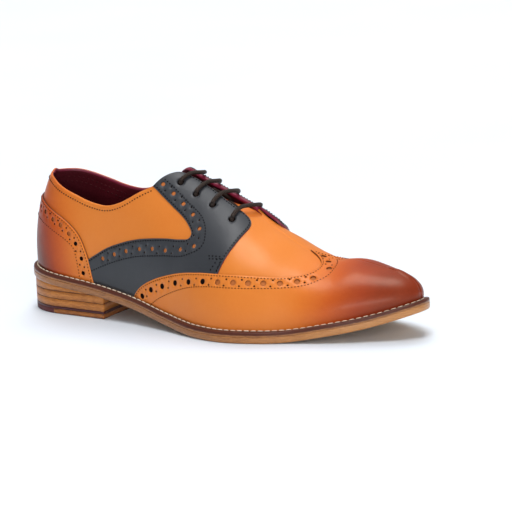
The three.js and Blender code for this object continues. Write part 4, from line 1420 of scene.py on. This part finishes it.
brown_seams = [
    joined_over(clipped(beside(wing_edge, EDGE_SEAM)), CAP_LEATHER),
    joined_over(clipped(smooth(knots(WING_SEAM))), CAP_LEATHER),
    joined_over(clipped(beside(counter_edge, EDGE_SEAM))[::-1], CAP_LEATHER),
    joined_over(clipped(smooth(knots(COUNTER_SEAM)))[::-1], CAP_LEATHER),
]
stitches("lining_seams", inner_seams, *LINING_STITCH, LINING_THREAD, "tan_leather")
stitches("navy_seams", dark_seams, SEAM_PITCH, SEAM_LENGTH, DARK_THREAD_SIZE, DARK_THREAD,
         "navy_leather")
stitches("collar_seams", collar_seams, SEAM_PITCH, SEAM_LENGTH, DARK_THREAD_SIZE, SEAM_THREAD,
         "tan_leather")
stitches("cap_seams", brown_seams, SEAM_PITCH, SEAM_LENGTH, THREAD, BROWN_THREAD, "tan_leather")

round_angle = np.linspace(-math.pi, math.pi, 1500)
welt_line = inset(round_angle, margin(round_angle) - WELT_SEAM_IN)
welt_seam = np.column_stack([welt_line, welt_top(welt_line[:, 0]) - 0.15])
upright = np.tile([0.0, 0.0, 1.0], (1500, 1))
stitches("welt_seam", [(welt_seam, upright)], WELT_PITCH, WELT_STITCH, WELT_THREAD, CREAM_THREAD,
         "welt_leather")

outsole()
welt()
lift_low = TOP_PIECE + ACCENT
wedge_low = lift_low + 2 * LIFT
heel_piece("heel_rubber_tip", "heel_rubber", 0, RUBBER_LENGTH, 0, TOP_PIECE, RUBBER)
heel_piece("heel_top_leather", "heel_top_piece", RUBBER_LENGTH, HEEL_LENGTH, 0, TOP_PIECE, STACK,
           shade=0.16)
heel_piece("heel_accent_layer", "heel_accent", 0, HEEL_LENGTH, TOP_PIECE, lift_low,
           ACCENT_LEATHER, swell=0.05)
heel_piece("heel_layer_3", "heel_lift_3", 0, HEEL_LENGTH, lift_low, lift_low + LIFT, STACK)
heel_piece("heel_layer_2", "heel_lift_2", 0, HEEL_LENGTH, lift_low + LIFT, wedge_low, STACK,
           swell=0.04)
x_fine = np.linspace(0, HEEL_LENGTH, 400)
wedge_front = float(x_fine[under(x_fine) > wedge_low + 0.4][-1])
heel_piece("heel_layer_1", "heel_wedge", 0, wedge_front, wedge_low, wedge_low + HEEL_RISE, STACK)
tongue()
for i in range(len(EYELETS)):
    lace_bar(i)
for i in range(len(EYELETS) - 1):
    lace_under(i, (LATERAL, MEDIAL)[i % 2])

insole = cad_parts["insole"]
insole.data.materials.clear()
insole.data.materials.append(LINING)

# Floor, lights and camera
floor_mesh = bpy.data.meshes.new("floor")
floor_mesh.from_pydata([(-6, -6, 0), (6, -6, 0), (6, 6, 0), (-6, 6, 0)], [], [(0, 1, 2, 3)])
floor = bpy.data.objects.new("floor", floor_mesh)
bpy.context.collection.objects.link(floor)
pale = Nodes("pale_floor")
floor_tone = pale.ramp(pale.noise(3.0, 2.0), (
    (0.3, (0.68, 0.74, 0.81, 1)), (0.7, (0.71, 0.76, 0.83, 1))))
floor_mesh.materials.append(pale.set(Base_Color=floor_tone, Roughness=0.6))

world = bpy.data.worlds.new("studio")
world.use_nodes = True
sky = world.node_tree
# The sky fades from the top down
ray = sky.nodes.new("ShaderNodeTexCoord")
toward = sky.nodes.new("ShaderNodeVectorMath")
toward.operation = "DOT_PRODUCT"
toward.inputs[1].default_value = (0.06, 0.34, 0.94)
fade = sky.nodes.new("ShaderNodeMapRange")
fade.inputs["From Min"].default_value = -0.6
fade.inputs["To Min"].default_value = 0.05
fade.inputs["To Max"].default_value = 0.46
sky.links.new(ray.outputs["Generated"], toward.inputs[0])
sky.links.new(toward.outputs["Value"], fade.inputs["Value"])
sky.links.new(fade.outputs["Result"], sky.nodes["Background"].inputs["Strength"])
sky.nodes["Background"].inputs["Color"].default_value = (1, 1, 1, 1)
bpy.context.scene.world = world


def sun(name, direction, degrees, strength, glossy=True):
    data = bpy.data.lights.new(name, "SUN")
    data.angle = math.radians(degrees)
    data.energy = strength
    light = bpy.data.objects.new(name, data)
    light.rotation_euler = Vector(direction).to_track_quat("Z", "Y").to_euler()
    light.visible_glossy = glossy
    bpy.context.collection.objects.link(light)


def area_light(name, place_m, target, size, power):
    data = bpy.data.lights.new(name, "AREA")
    data.shape = "RECTANGLE"
    data.size, data.size_y = size
    data.energy = power
    light = bpy.data.objects.new(name, data)
    light.location = place_m
    light.rotation_euler = (Vector(target) - Vector(place_m)).to_track_quat("-Z", "Y").to_euler()
    bpy.context.collection.objects.link(light)


sun("key", (-0.32, 0.6, 1.0), 34, 1.9, glossy=False)
sun("overhead", (0.05, -0.14, 1.0), 30, 1.75)
sun("fill", (0.8, -0.66, 0.12), 60, 1.95, glossy=False)
area_light("front", (0.85, -1.35, 0.2), (0.12, -0.02, 0.03), (0.12, 0.08), 2.6)

CAMERA_TURN = math.radians(33.0)
CAMERA_TILT = math.radians(11.978)
CAMERA_ROLL = math.radians(-2.5)
CAMERA_AWAY = 2.0
CAMERA_TARGET = Vector(to_frame([180.8, 0.0, 46.3]))
FOCAL_SHARE = 2974.8 / 512

back = Vector((math.sin(CAMERA_TURN) * math.cos(CAMERA_TILT),
               -math.cos(CAMERA_TURN) * math.cos(CAMERA_TILT), math.sin(CAMERA_TILT)))
right = Vector((math.cos(CAMERA_TURN), math.sin(CAMERA_TURN), 0))
upward = back.cross(right)
turned_right = math.cos(CAMERA_ROLL) * right + math.sin(CAMERA_ROLL) * upward
turned_up = -math.sin(CAMERA_ROLL) * right + math.cos(CAMERA_ROLL) * upward
camera_data = bpy.data.cameras.new("camera")
camera_data.sensor_width = 36
camera_data.lens = 36 * FOCAL_SHARE
camera_data.clip_end = 50
camera = bpy.data.objects.new("camera", camera_data)
pose = Matrix((turned_right, turned_up, back)).transposed().to_4x4()
pose.translation = CAMERA_TARGET + CAMERA_AWAY * back
camera.matrix_world = pose
bpy.context.collection.objects.link(camera)
bpy.context.scene.camera = camera
bpy.context.scene.view_settings.view_transform = "Standard"
